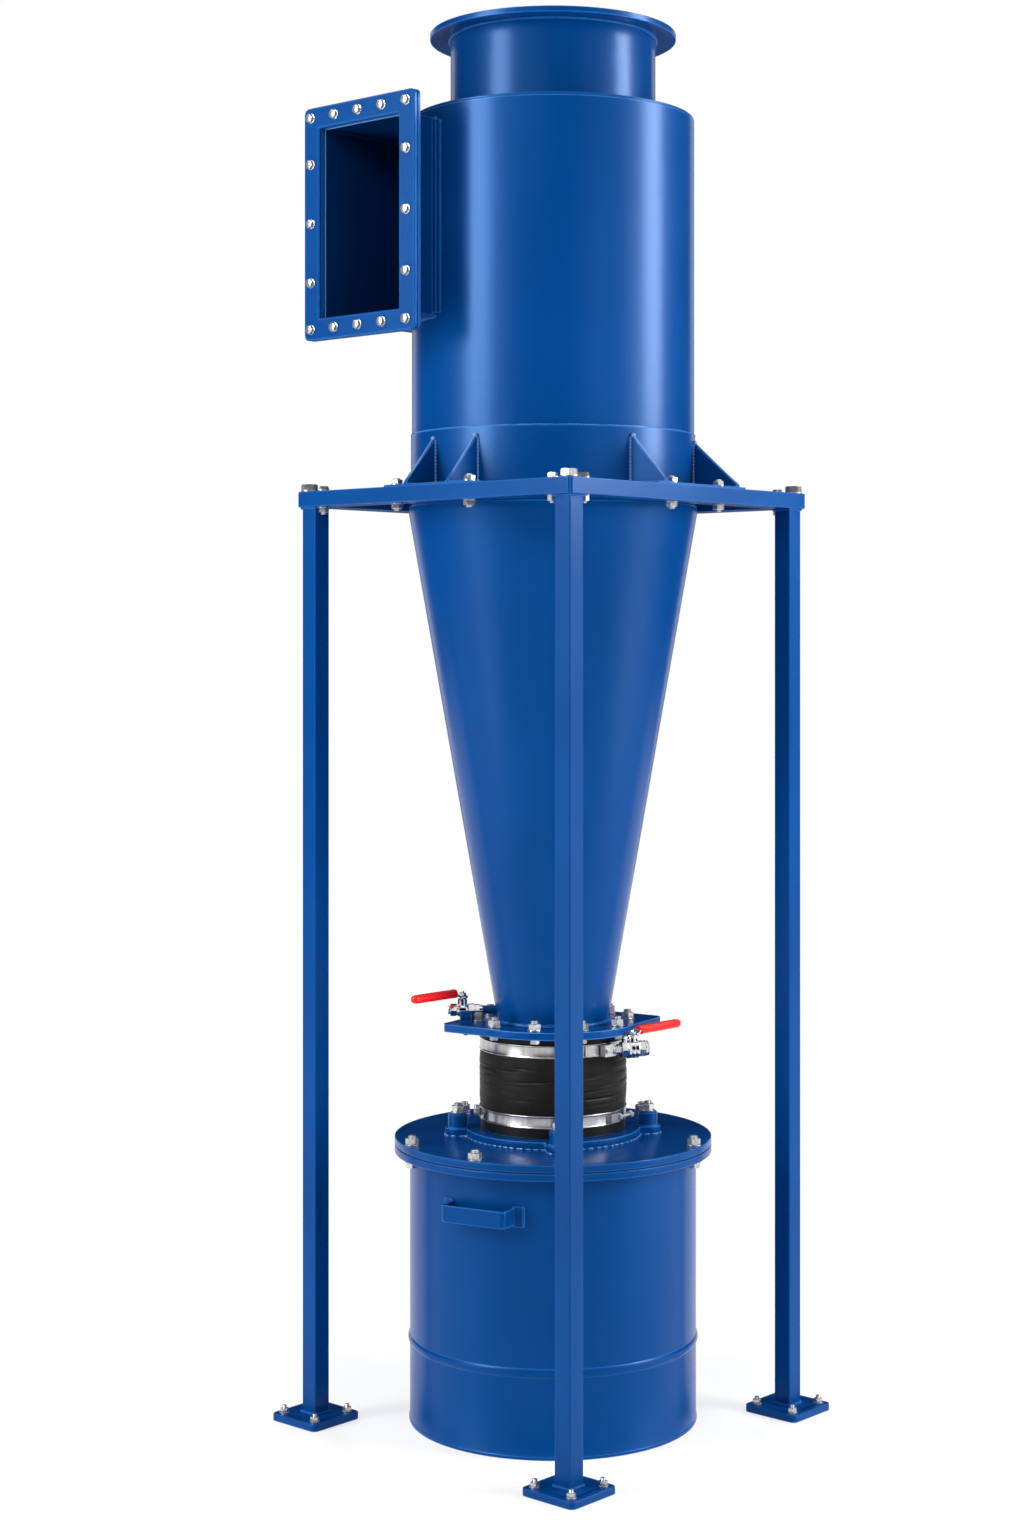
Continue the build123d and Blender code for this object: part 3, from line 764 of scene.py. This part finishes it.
def makeLugWelds():
    g = gusset
    bm, crowns = bmesh.new(), bmesh.new()
    for turn, spots in lugs.values():
        spin = Matrix.Rotation(math.radians(turn), 4, "Z")
        for along in spots["gussets"]:
            for way in (-1, 1):
                x = along + way * (g["half"] + 1)
                root = -math.sqrt(g["skirt"] ** 2 - x * x)
                rise = [spin @ Vector((x, root - 1, z)) for z in (g["base"], g["apex"] - 3)]
                bead(crowns, rise, 2.2, ripple=0.4)
                bead(bm, [spin @ Vector((x, y, g["base"] + 1)) for y in (g["toe"], root)], 2.6)
            root = -math.sqrt(g["skirt"] ** 2 - along**2)
            top = spin @ Vector((along, root - 3, g["apex"]))
            steps = [math.radians(a) for a in range(180, -1, -20)]
            ball = [(5.4 * math.sin(a), 5.0 * math.cos(a)) for a in steps]
            turned(crowns, ball, at(*top), 16)
            bead(crowns, [spin @ Vector((along, g["toe"] + 3, g["base"] + 5)), top], 2.0, ripple=0.04)
    piece("lugWelds", bm, bluePaint)
    # the gussets' edge crowns carry the painted weld highlight
    piece("lugEdges", crowns, weldHighlightPaint)


# Soft sleeve and its two bands

sleeve = {
    "inner": 148, "outer": 152, "low": 609, "high": 811, "belly": 2.6,
    "bandLow": 641, "bandHigh": 785, "bandHalf": 13,
}


def makeSleeve():
    s = sleeve
    columns, rows = 360, 116
    creases = []
    # how many, how long, how high and how deep: first the large creases, then the fine ones
    kinds = [(20, (0.4, 1.0), (1.2, 2.4), (1.6, 2.6)), (90, (0.14, 0.5), (1.1, 2.6), (0.5, 1.2))]
    for count, long, wide, deep in kinds:
        for _ in range(count):
            creases.append({
                "angle": random.uniform(0, math.tau),
                "z": random.uniform(s["bandLow"] + 20, s["bandHigh"] - 20),
                "long": random.uniform(*long), "wide": random.uniform(*wide), "deep": random.uniform(*deep),
                "tilt": random.uniform(-9, 9), "wave": random.uniform(1, 3),
            })
    bm = bmesh.new()
    rings = []
    span = s["bandHigh"] - s["bandLow"] - 2 * s["bandHalf"]
    for row in range(rows + 1):
        z = s["low"] + (s["high"] - s["low"]) * row / rows
        lift = (z - s["bandLow"] - s["bandHalf"]) / span
        belly = s["belly"] * math.sin(math.pi * lift) ** 0.5 if 0 < lift < 1 else 0.0
        soft = max(0.0, min(1.0, 6 * lift, 6 * (1 - lift)))
        ring = []
        near = [c for c in creases if abs(c["z"] - z) < 22]
        for k in range(columns):
            a = math.tau * k / columns
            sag = 0.0
            for c in near:
                off = (a - c["angle"] + math.pi) % math.tau - math.pi
                if abs(off) < 2 * c["long"]:
                    across = (z - c["z"] - c["tilt"] * off - 0.9 * math.sin(off * c["wave"] * 2)) / c["wide"]
                    sag += c["deep"] * math.exp(-across * across) * math.exp(-((off / c["long"]) ** 2) * 2)
            loose = 0.35 * math.sin(5 * a + z * 0.05) + 0.25 * math.sin(11 * a - z * 0.09)
            r = s["outer"] + belly + soft * (loose - min(sag, 2.8))
            ring.append(bm.verts.new((r * math.cos(a), r * math.sin(a), z)))
        rings.append(ring)
    for z in (s["high"] - 0.2, s["low"] + 0.2):
        rings.append([bm.verts.new(polar(s["inner"], 360 * k / columns, z)) for k in range(columns)])
    skin(bm, rings, True)
    piece("sleeve", bm, sleeveRubber, nodes=["sleeve"], sharp=50)


bands = {
    "inner": 152, "outer": 153.5, "half": 13, "upper": 785, "lower": 641, "lip": 0.9,
    "buckleAt": -18, "boltAt": 4, "restAt": -136,
}


def bandRing(bm, z):
    # a thin strip with both edges rolled out a little
    b = bands
    h = b["half"]
    out = b["outer"]
    ring = [(b["inner"], z - h), (out + b["lip"], z - h), (out + b["lip"], z - h + 2.2), (out, z - h + 3.6)]
    ring += [(out, z + h - 3.6), (out + b["lip"], z + h - 2.2), (out + b["lip"], z + h), (b["inner"], z + h)]
    turned(bm, rounded(ring, 0.5, 2), segments=200, closed=True)


def makeBands():
    b = bands
    bm = bmesh.new()
    bandRing(bm, b["upper"])
    # buckle with its slot, riveted on the upper band
    plate = around(b["buckleAt"], b["outer"] + 2.6, b["upper"])
    for y, z, w, h in ((-13, 0, 5, 22), (13, 0, 5, 22), (0, 8.6, 26, 5), (0, -8.6, 26, 5)):
        box(bm, (4.4, w, h), plate @ Matrix.Translation((0, y, z)))
    box(bm, (3.0, 24, 14), plate @ Matrix.Translation((-0.9, 0, 0)))
    piece("clampUpper", bm, bandSteel, nodes=["clamp_upper"], bevel=0.5)

    bm = bmesh.new()
    bandRing(bm, b["lower"])
    plate = around(b["boltAt"], b["outer"] + 4.6, b["lower"])
    box(bm, (9, 26, 19), plate)
    box(bm, (2.2, 34, 15), plate @ Matrix.Translation((-4.2, 0, 0)))
    rest = around(b["restAt"], b["outer"] + 3, b["lower"])
    box(bm, (2.4, 30, 18), rest @ Matrix.Translation((-1.6, 0, 0)))
    piece("clampLower", bm, bandSteel, nodes=["clamp_lower"], bevel=0.7)

    # draw bolt of the lower band: it runs out along the band's tangent
    bm = bmesh.new()
    draw = plate @ Matrix.Translation((1.5, 13, 0)) @ Matrix.Rotation(-math.pi / 2, 4, "X")
    hexagon(bm, draw, 13, 0, 8, True)
    thread(bm, draw, 4.0, 7, 52, 1.6)
    hexagon(bm, draw @ Matrix.Translation((0, 0, 38)), 13, 0, 8, True)
    tee = rest @ Matrix.Translation((4, 0, 0))
    turned(bm, rounded(section(0, 5.2, -11, 11), 1.2, 2, closed=False), tee, 20)
    pull = tee @ Matrix.Rotation(-math.pi / 2, 4, "X")
    thread(bm, pull, 3.6, 4, 30, 1.6)
    hexagon(bm, pull @ Matrix.Translation((0, 0, 12)), 12, 0, 8, True)
    piece("clampBolts", bm, boltZinc)


# Dust drum: lid, posts, rim, body and handles

lid = {
    "outer": 332, "inner": 144, "low": 576, "high": 591, "drumTop": 574, "rimLow": 559, "shell": 300,
    "gasket": (297, 329), "bolts": 316,
}
# the bolts whose nuts show under the rim, and those screwed into it
lidBolts = {"through": (-114.5, 17.5, 93.5, 131.5, -190.5), "tapped": (-78, -41.5)}
posts = {
    "circle": 200, "angles": (-135.0, -45.0, 45.0, 135.0), "top": 637, "pad": 26, "ring": 182, "foot": 591,
}


def makeLid():
    d = lid
    plate = section(d["inner"], d["outer"], d["low"], d["high"])
    lathed("drumLid", "drum_lid", bluePaint, plate, 1.8, 4)
    bm = bmesh.new()
    turned(bm, section(*d["gasket"], d["drumTop"], d["low"]), segments=176, closed=True)
    piece("lidGasket", bm, gasketRubber, nodes=["lid_gasket"])
    rim = section(d["shell"], d["outer"], d["rimLow"], d["drumTop"])
    lathed("drumRim", "drum_rim", bluePaint, rim, 1.6, 4)
    heads, nuts = bmesh.new(), bmesh.new()
    for kind, angles in lidBolts.items():
        for angle in angles:
            boltNut(nuts, at(*polar(d["bolts"], angle, d["high"])), "m16", 6)
            if kind == "through":
                boltHead(heads, at(*polar(d["bolts"], angle, d["rimLow"]), "-Z"), "m16")
    piece("lidBolts", heads, boltZinc)
    piece("lidNuts", nuts, boltZinc)


def collarReach(angle):
    # how far the collar's outline is from the axis, its pads included
    p = posts
    reach = p["ring"]
    for post in p["angles"]:
        off = math.radians((angle - post + 180) % 360 - 180)
        if abs(off) > 0.5:
            continue
        side = p["circle"] * abs(math.sin(off))
        if side < p["pad"]:
            reach = max(reach, p["circle"] * math.cos(off) + math.sqrt(p["pad"] ** 2 - side * side))
        elif abs(math.sin(off)) * p["ring"] < p["pad"]:
            reach = max(reach, p["pad"] / abs(math.sin(off)))
    return reach


def makePosts():
    p = posts
    dress("lid_collar", bluePaint, 1.4)
    # the collar's broken weld carries the painted weld highlight
    bm = bmesh.new()
    outline = [polar(collarReach(k) + 1.5, k, p["foot"] + 1.2) for k in range(360)]
    dashes(bm, outline, 1.7, 14, 7)
    piece("collarWeld", bm, weldHighlightPaint)
    caps = bmesh.new()
    for angle in p["angles"]:
        boltNut(caps, at(*polar(p["circle"], angle, p["top"])), "m16", 5)
    piece("postNuts", caps, boltZinc)


drum = {
    "radius": 300, "wall": 3, "top": 574, "bead": 172.2, "half": 9, "proud": 3.5, "ring": 7, "ringOut": 1.5,
    "floor": 14, "base": 4,
}
handles = {
    "nodes": {"drum_handle_front": -77, "drum_handle_back": 103}, "apart": 79.5, "half": 11.5,
    "low": 462, "high": 502,
}


def makeDrum():
    d = drum
    r = d["radius"]
    swage = []
    for k in range(13):
        t = k / 12
        out = d["proud"] * math.sin(math.pi * t) ** 0.7
        swage.append((r + out, d["bead"] - d["half"] + 2 * d["half"] * t))
    inside, foot, inner = r - d["wall"], r + d["ringOut"], d["floor"] + d["base"]
    profile = [(0, d["floor"]), (inside, d["floor"]), (inside, 0), (foot - 1, 0), (foot, 1)]
    profile += [(foot, d["ring"] - 1), (foot - 0.8, d["ring"]), (r, d["ring"] + 1.5), *swage]
    profile += [(r, d["top"]), (inside, d["top"]), (inside, inner), (0, inner)]
    bm = bmesh.new()
    turned(bm, profile, segments=176)
    piece("drumBody", bm, bluePaint, nodes=["drum_body"], sharp=30)
    bm = bmesh.new()
    bead(bm, circle(r + 1.5, lid["rimLow"] - 1), 3.0, True)
    h = handles
    spread = math.degrees(math.asin(h["apart"] / r))
    for node, angle in h["nodes"].items():
        dress(node, bluePaint, 1.4)
        for way in (-1, 1):
            for edge in (-1, 1):
                a = angle + way * spread + edge * math.degrees(h["half"] / r)
                bead(bm, [polar(r + 1.5, a, z) for z in (h["low"], h["high"])], 2.2)
    piece("drumWelds", bm, bluePaint)


for stage in (makeOutlet, makeBarrel, makeCone, makeFootFlangeBolts, makeInlet, makeStand, makeLugWelds):
    stage()
print("body and stand made")
for stage in (makeSleeve, makeBands, makeLid, makePosts, makeDrum):
    stage()
print("sleeve and drum made")


# Ball valves and their levers

valve = {
    "long": 26, "endLong": 13, "radius": 19, "endAcross": 30, "pipe": 9, "neck": 10, "neckHigh": 25,
    "stem": 4, "nutLow": 29.6, "nutHigh": 35.6, "nutAcross": 13.6,
}
coneValve = {
    "spot": (-134.35, -134.35, 852), "angle": -135, "pipe": 78, "block": (24, 30, 23), "blockBack": 6.5,
    "radius": 14.5, "across": 24, "plug": (0, 9, 25, 31), "union": (22, -36, -25),
    "end": (0, 10.5, -44, -35),
}
bandValve = {
    "spot": (190.57, 30.53, 785), "angle": 60.53, "pipe": 54, "ridges": 3, "ridgeFrom": -39, "ridgeStep": 4.2,
    "ridge": 2.2, "knob": 19,
}


def alongX(spot, angle):
    # a place whose own Z runs level, along the valve's bore
    turn = Matrix.Rotation(math.radians(angle), 4, "Z")
    return Matrix.Translation(spot) @ turn @ Matrix.Rotation(math.pi / 2, 4, "Y")


def valveBody(bm, place, rings, radius, across):
    v = valve
    half, step = v["long"] / 2, v["long"] / rings
    end = half + v["endLong"]
    barrelRing = [(0, -half), (radius - 3, -half)]
    for k in range(rings):
        low = -half + v["long"] * k / rings
        barrelRing += [(radius, low + 0.22 * step), (radius, low + 0.72 * step)]
        barrelRing.append((radius - 1.8, low + 0.86 * step))
    barrelRing += [(radius - 3, half), (0, half)]
    turned(bm, barrelRing, place, 40)
    hexagon(bm, place, across, half - 1, end, True)
    hexagon(bm, place, across, -end, -half + 1, True)


def valveTop(bm, spot):
    # neck, stem and the nut that holds the lever
    v = valve
    neck = [(0, 0), (v["neck"], 0), (v["neck"], 21), (v["neck"] - 2, v["neckHigh"]), (0, v["neckHigh"])]
    turned(bm, neck, at(*spot), 32)
    thread(bm, at(*spot), v["stem"], v["neckHigh"] - 2, v["nutHigh"] + 3.5, 1.4)
    hexagon(bm, at(*spot), v["nutAcross"], v["nutLow"], v["nutHigh"], True)


def makeValves():
    v, c, b = valve, coneValve, bandValve
    bm = bmesh.new()
    spot = Vector(c["spot"])
    bore = alongX(spot, c["angle"])
    turn = Matrix.Translation(spot) @ Matrix.Rotation(math.radians(c["angle"]), 4, "Z")
    box(bm, c["block"], turn @ Matrix.Translation((-c["blockBack"], 0, -c["block"][2] / 2)))
    turned(bm, section(0, v["pipe"], -c["pipe"], 0), bore, 28)
    piece("coneValveBody", bm, valvePaint, nodes=["cone_valve"], bevel=0.6)
    bm = bmesh.new()
    # slim bright body with its plug, union towards the cone, neck, stem and nut
    valveBody(bm, bore, 1, c["radius"], c["across"])
    turned(bm, rounded(section(*c["plug"]), 1.5, closed=False), bore, 28)
    hexagon(bm, bore, *c["union"], True)
    turned(bm, rounded(section(*c["end"]), 2, closed=False), bore, 28)
    valveTop(bm, spot)
    piece("coneValveTrim", bm, barChrome)

    bm = bmesh.new()
    spot = Vector(b["spot"])
    bore = alongX(spot, b["angle"])
    valveBody(bm, bore, 3, v["radius"], v["endAcross"])
    nipple = [(0, -b["pipe"]), (v["pipe"], -b["pipe"])]
    crest = v["pipe"] + b["ridge"]
    for k in range(b["ridges"]):
        low = b["ridgeFrom"] + b["ridgeStep"] * k
        nipple += [(v["pipe"], low), (crest, low + 0.8), (crest, low + 2.4), (v["pipe"], low + 3.2)]
    turned(bm, nipple + [(v["pipe"], 0), (0, 0)], bore, 28)
    valveTop(bm, spot)
    # end cap with its two rings, and the round knob on the neck
    cap = [(0, 25), (14, 25), (16, 26.5), (16, 28.5), (13.5, 30), (13.5, 31)]
    turned(bm, cap + [(15, 32), (15, 34), (11, 35.5), (0, 35.5)], bore, 36)
    knob = rounded([(0, 4), (4, 4), (4, 14), (8.5, 14), (8.5, 21), (0, 21)], 2.0, closed=False)
    turned(bm, knob, alongX(spot + Vector((0, 0, b["knob"])), b["angle"] + 180), 28)
    piece("bandValveBody", bm, barChrome, nodes=["band_valve"])


saddle = {"angle": -6, "low": 153.2, "deep": 22, "wide": 30, "high": 24, "z": 785}


def makeSaddle():
    s = saddle
    place = around(s["angle"], s["low"] + s["deep"] / 2, s["z"])
    bm = bmesh.new()
    box(bm, (s["deep"], s["wide"], s["high"]), place)
    for y in (-9, 9):
        front = place @ Matrix.Translation((s["deep"] / 2, y, 0))
        hexagon(bm, front @ Matrix.Rotation(math.pi / 2, 4, "Y"), 8, 0, 3.5)
    piece("bandSaddle", bm, studZinc, nodes=["band_saddle"], bevel=1.2)


lever = {
    "rise": 9, "thick": 4, "wide": 13, "rampFrom": 12, "rampTo": 23, "bore": 4.3, "hub": 12, "short": 6,
    "low": 25.3,
}
grip = {
    "wide": 9.5, "high": 8.6, "swell": 0.55, "lip": 0.8, "tip": 10, "square": 0.78, "sides": 28,
    "rings": (0, 0.012, 0.03, 0.05, 0.08, 0.2, 0.35, 0.5, 0.65, 0.8, 0.87, 0.92, 0.955, 0.98, 0.994, 1.0),
}
levers = {
    "cone": (coneValve["spot"], -90, 150, "cone_valve_lever_arm", ("cone_valve_lever", "cone_valve_grip")),
    "band": (bandValve["spot"], 90, 155, "band_valve_lever_arm", ("band_valve_lever", "band_valve_grip")),
}


def leverBar(place, length, mid, height):
    g = lever
    line = [(0, mid), (g["rampFrom"], mid), (g["rampTo"], height), (length - g["short"], height)]
    line = [Vector(p) for p in rounded(line, 7, 6, closed=False)]
    upper, lower = [], []
    for k, spot in enumerate(line):
        ahead = (line[min(k + 1, len(line) - 1)] - line[max(k - 1, 0)]).normalized()
        out = Vector((-ahead.y, ahead.x)) * g["thick"] / 2
        upper.append(spot + out)
        lower.append(spot - out)
    outline = [(p.x, p.y) for p in upper + lower[::-1]]
    bm = bmesh.new()
    # the outline is drawn from the side, so the slab's own Z is the lever's width
    slab(bm, outline, -g["wide"] / 2, g["wide"] / 2, place @ Matrix.Rotation(math.pi / 2, 4, "X"))
    hub = rounded(section(g["bore"], g["hub"], g["low"], g["low"] + g["thick"]), 0.8, 2)
    turned(bm, hub, place, 32, closed=True)
    return bm


def leverGrip(place, root, tip, height):
    # dipped grip: a flattened round section with a rolled lip at its mouth
    g = grip
    bm = bmesh.new()
    rings = []
    for t in g["rings"]:
        along = root + (tip - root) * t
        left = (1 - t) * (tip - root)
        close = math.sqrt(max(0.0, 1 - (1 - min(left, g["tip"]) / g["tip"]) ** 2))
        lip = g["lip"] * math.exp(-(((t - 0.025) / 0.02) ** 2)) + (0.0 if t > 0.01 else -1.4)
        swell = g["swell"] * math.sin(math.pi * t)
        wide, high = (g["wide"] + swell + lip) * close, (g["high"] + 0.6 * swell + lip) * close
        ring = []
        for k in range(g["sides"]):
            a = math.tau * k / g["sides"]
            y = wide * math.copysign(abs(math.cos(a)) ** g["square"], math.cos(a))
            z = high * math.copysign(abs(math.sin(a)) ** g["square"], math.sin(a))
            ring.append(bm.verts.new(place @ Vector((along, y, height + z))))
            if close < 1e-6:
                break
        rings.append(ring)
    skin(bm, rings)
    bm.faces.new(rings[0])
    return bm


def makeLevers():
    mid = lever["low"] + lever["thick"] / 2
    height = mid + lever["rise"]
    for name, (spot, turn, length, body, nodes) in levers.items():
        place = Matrix.Translation(spot) @ Matrix.Rotation(math.radians(turn), 4, "Z")
        bar = leverBar(place, length, mid, height)
        piece(name + "LeverBar", bar, barChrome, body, [nodes[0]], bevel=0.7)
        cover = leverGrip(place, lever["rampTo"], length, height)
        piece(name + "LeverGrip", cover, redVinyl, body, [nodes[1]], sharp=40)


makeValves()
makeSaddle()
makeLevers()
print("valves made")


# Floor, light and camera


def makeFloor():
    bm = bmesh.new()
    slab(bm, rectangle(40000, 40000), -60, -0.5)
    toMetres(bm)
    pale = Finish("paleFloor", {"Base Color": (0.93, 0.93, 0.93, 1), "Roughness": 0.9})
    lit = Wire(pale, pale.shader.outputs[0])
    glow = pale.node("ShaderNodeEmission", None, {"Color": (1, 1, 1, 1), "Strength": 1.0})
    # far from the object the floor goes over into the white background
    spot = pale.node("ShaderNodeTexCoord", output="Object")
    far = pale.node("ShaderNodeVectorMath", {"operation": "LENGTH"}, {0: spot}, output="Value")
    share = pale.node("ShaderNodeMapRange", None, {0: far, 1: 0.5, 2: 1.8, 3: 0.62, 4: 1.0})
    mixed = pale.node("ShaderNodeMixShader", None, {0: pale.seen() * share, 1: lit, 2: glow})
    pale.feed(pale.tree.nodes["Material Output"].inputs["Surface"], mixed)
    floor = solid("floor", bm, pale.material)


view = {
    "turn": 41.5, "away": 5277, "eye": 1616.6, "focal": 2512, "axisX": 553, "horizonY": 645,
    "wide": 1024, "high": 1536, "sensor": 36,
}


def makeCamera():
    v = view
    data = bpy.data.cameras.new("camera")
    data.sensor_width = v["sensor"]
    data.lens = v["focal"] * v["sensor"] / v["high"]
    data.shift_x = (v["wide"] / 2 - v["axisX"]) / v["high"]
    data.shift_y = (v["horizonY"] - v["high"] / 2) / v["high"]
    data.clip_end = 200
    made = bpy.data.objects.new("camera", data)
    turn = math.radians(v["turn"])
    made.location = Vector((math.sin(turn), -math.cos(turn), 0)) * v["away"] * mm
    made.location.z = v["eye"] * mm
    made.rotation_euler = (math.pi / 2, 0, turn)
    bpy.context.scene.collection.objects.link(made)
    bpy.context.scene.camera = made


# side is the angle from the camera, positive to its right
lamps = {
    "leftBox": {"side": -68, "away": 3.5, "z": 1.55, "size": (1.25, 3.6), "power": 160, "aim": 1.45},
    "rightBox": {"side": 74, "away": 3.5, "z": 1.6, "size": (1.25, 3.6), "power": 185, "aim": 1.45},
    "frontRight": {"side": 30, "away": 3.4, "z": 2.6, "size": (1.2, 1.2), "power": 26, "aim": 2.4},
    "frontBox": {"side": -20, "away": 3.3, "z": 3.7, "size": (1.6, 1.0), "power": 46, "aim": 2.5},
    "rearLeft": {"side": -152, "away": 3.8, "z": 1.6, "size": (0.8, 3.2), "power": 80, "aim": 1.45},
    "rearRight": {"side": 150, "away": 3.8, "z": 1.6, "size": (0.8, 3.2), "power": 80, "aim": 1.45},
}
topLamp = {"size": (3.0, 3.0), "power": 36, "spot": (0.6, -0.8, 5.2)}
# panels stand outside the view, and only reflections see them
# side, width, height, middle, distance and glow
panels = {
    "front": (0, 9.0, 9.0, 2.5, 7.5, 0), "rearLeft": (-110, 10.4, 9.0, 2.5, 7.5, 0),
    "rearRight": (125, 6.8, 9.0, 2.5, 7.5, 0), "rear": (180, 5.0, 9.0, 2.5, 7.5, 0),
    "leftGlow": (-60, 1.3, 2.5, 3.5, 3.6, 24.0), "rightGlow": (84, 1.1, 2.5, 3.5, 3.6, 30.0),
    "lowLeftGlow": (-60, 1.3, 1.4, 0.5, 3.6, 2.5), "lowRightGlow": (80, 1.3, 1.4, 0.5, 3.6, 2.0),
}


def makePanels():
    for name, (side, wide, high, middle, away, glow) in panels.items():
        plain = {"Base Color": (0.01, 0.01, 0.01, 1), "Roughness": 1.0, "Specular IOR Level": 0.0}
        card = Finish(name + "Panel", {**plain, "Emission Color": (1, 1, 1, 1), "Emission Strength": glow})
        bm = bmesh.new()
        # this box is in metres from the start
        box(bm, (20 * mm, wide, high), around(view["turn"] - 90 + side, away, middle))
        made = solid(name + "Panel", bm, card.material)
        made.visible_camera = made.visible_diffuse = made.visible_transmission = made.visible_shadow = False


def lamp(name, size, power, spot):
    data = bpy.data.lights.new(name, "AREA")
    data.shape = "RECTANGLE"
    data.size, data.size_y = size
    data.energy = power
    made = bpy.data.objects.new(name, data)
    made.location = spot
    bpy.context.scene.collection.objects.link(made)
    return made


def makeLamps():
    for name, p in lamps.items():
        angle = math.radians(view["turn"] - 90 + p["side"])
        spot = Vector((p["away"] * math.cos(angle), p["away"] * math.sin(angle), p["z"]))
        made = lamp(name, p["size"], p["power"], spot)
        made.visible_glossy = False
        aim = Vector((0, 0, p["aim"])) - spot
        made.rotation_euler = aim.to_track_quat("-Z", "Y").to_euler()
    lamp("topBox", topLamp["size"], topLamp["power"], topLamp["spot"])


def makeWorld():
    world = bpy.data.worlds.new("studio")
    bpy.context.scene.world = world
    sky = Nodes(world)
    soft = sky.node("ShaderNodeBackground", None, {"Color": (0.95, 0.97, 1.0, 1), "Strength": 0.18})
    white = sky.node("ShaderNodeBackground", None, {"Color": (1, 1, 1, 1), "Strength": 1.0})
    mixed = sky.node("ShaderNodeMixShader", None, {0: sky.seen(), 1: soft, 2: white})
    sky.feed(sky.tree.nodes["World Output"].inputs["Surface"], mixed)


makeFloor()
makeCamera()
makeLamps()
makeWorld()
makePanels()
bpy.context.scene.view_settings.view_transform = "Standard"
print("stage set")
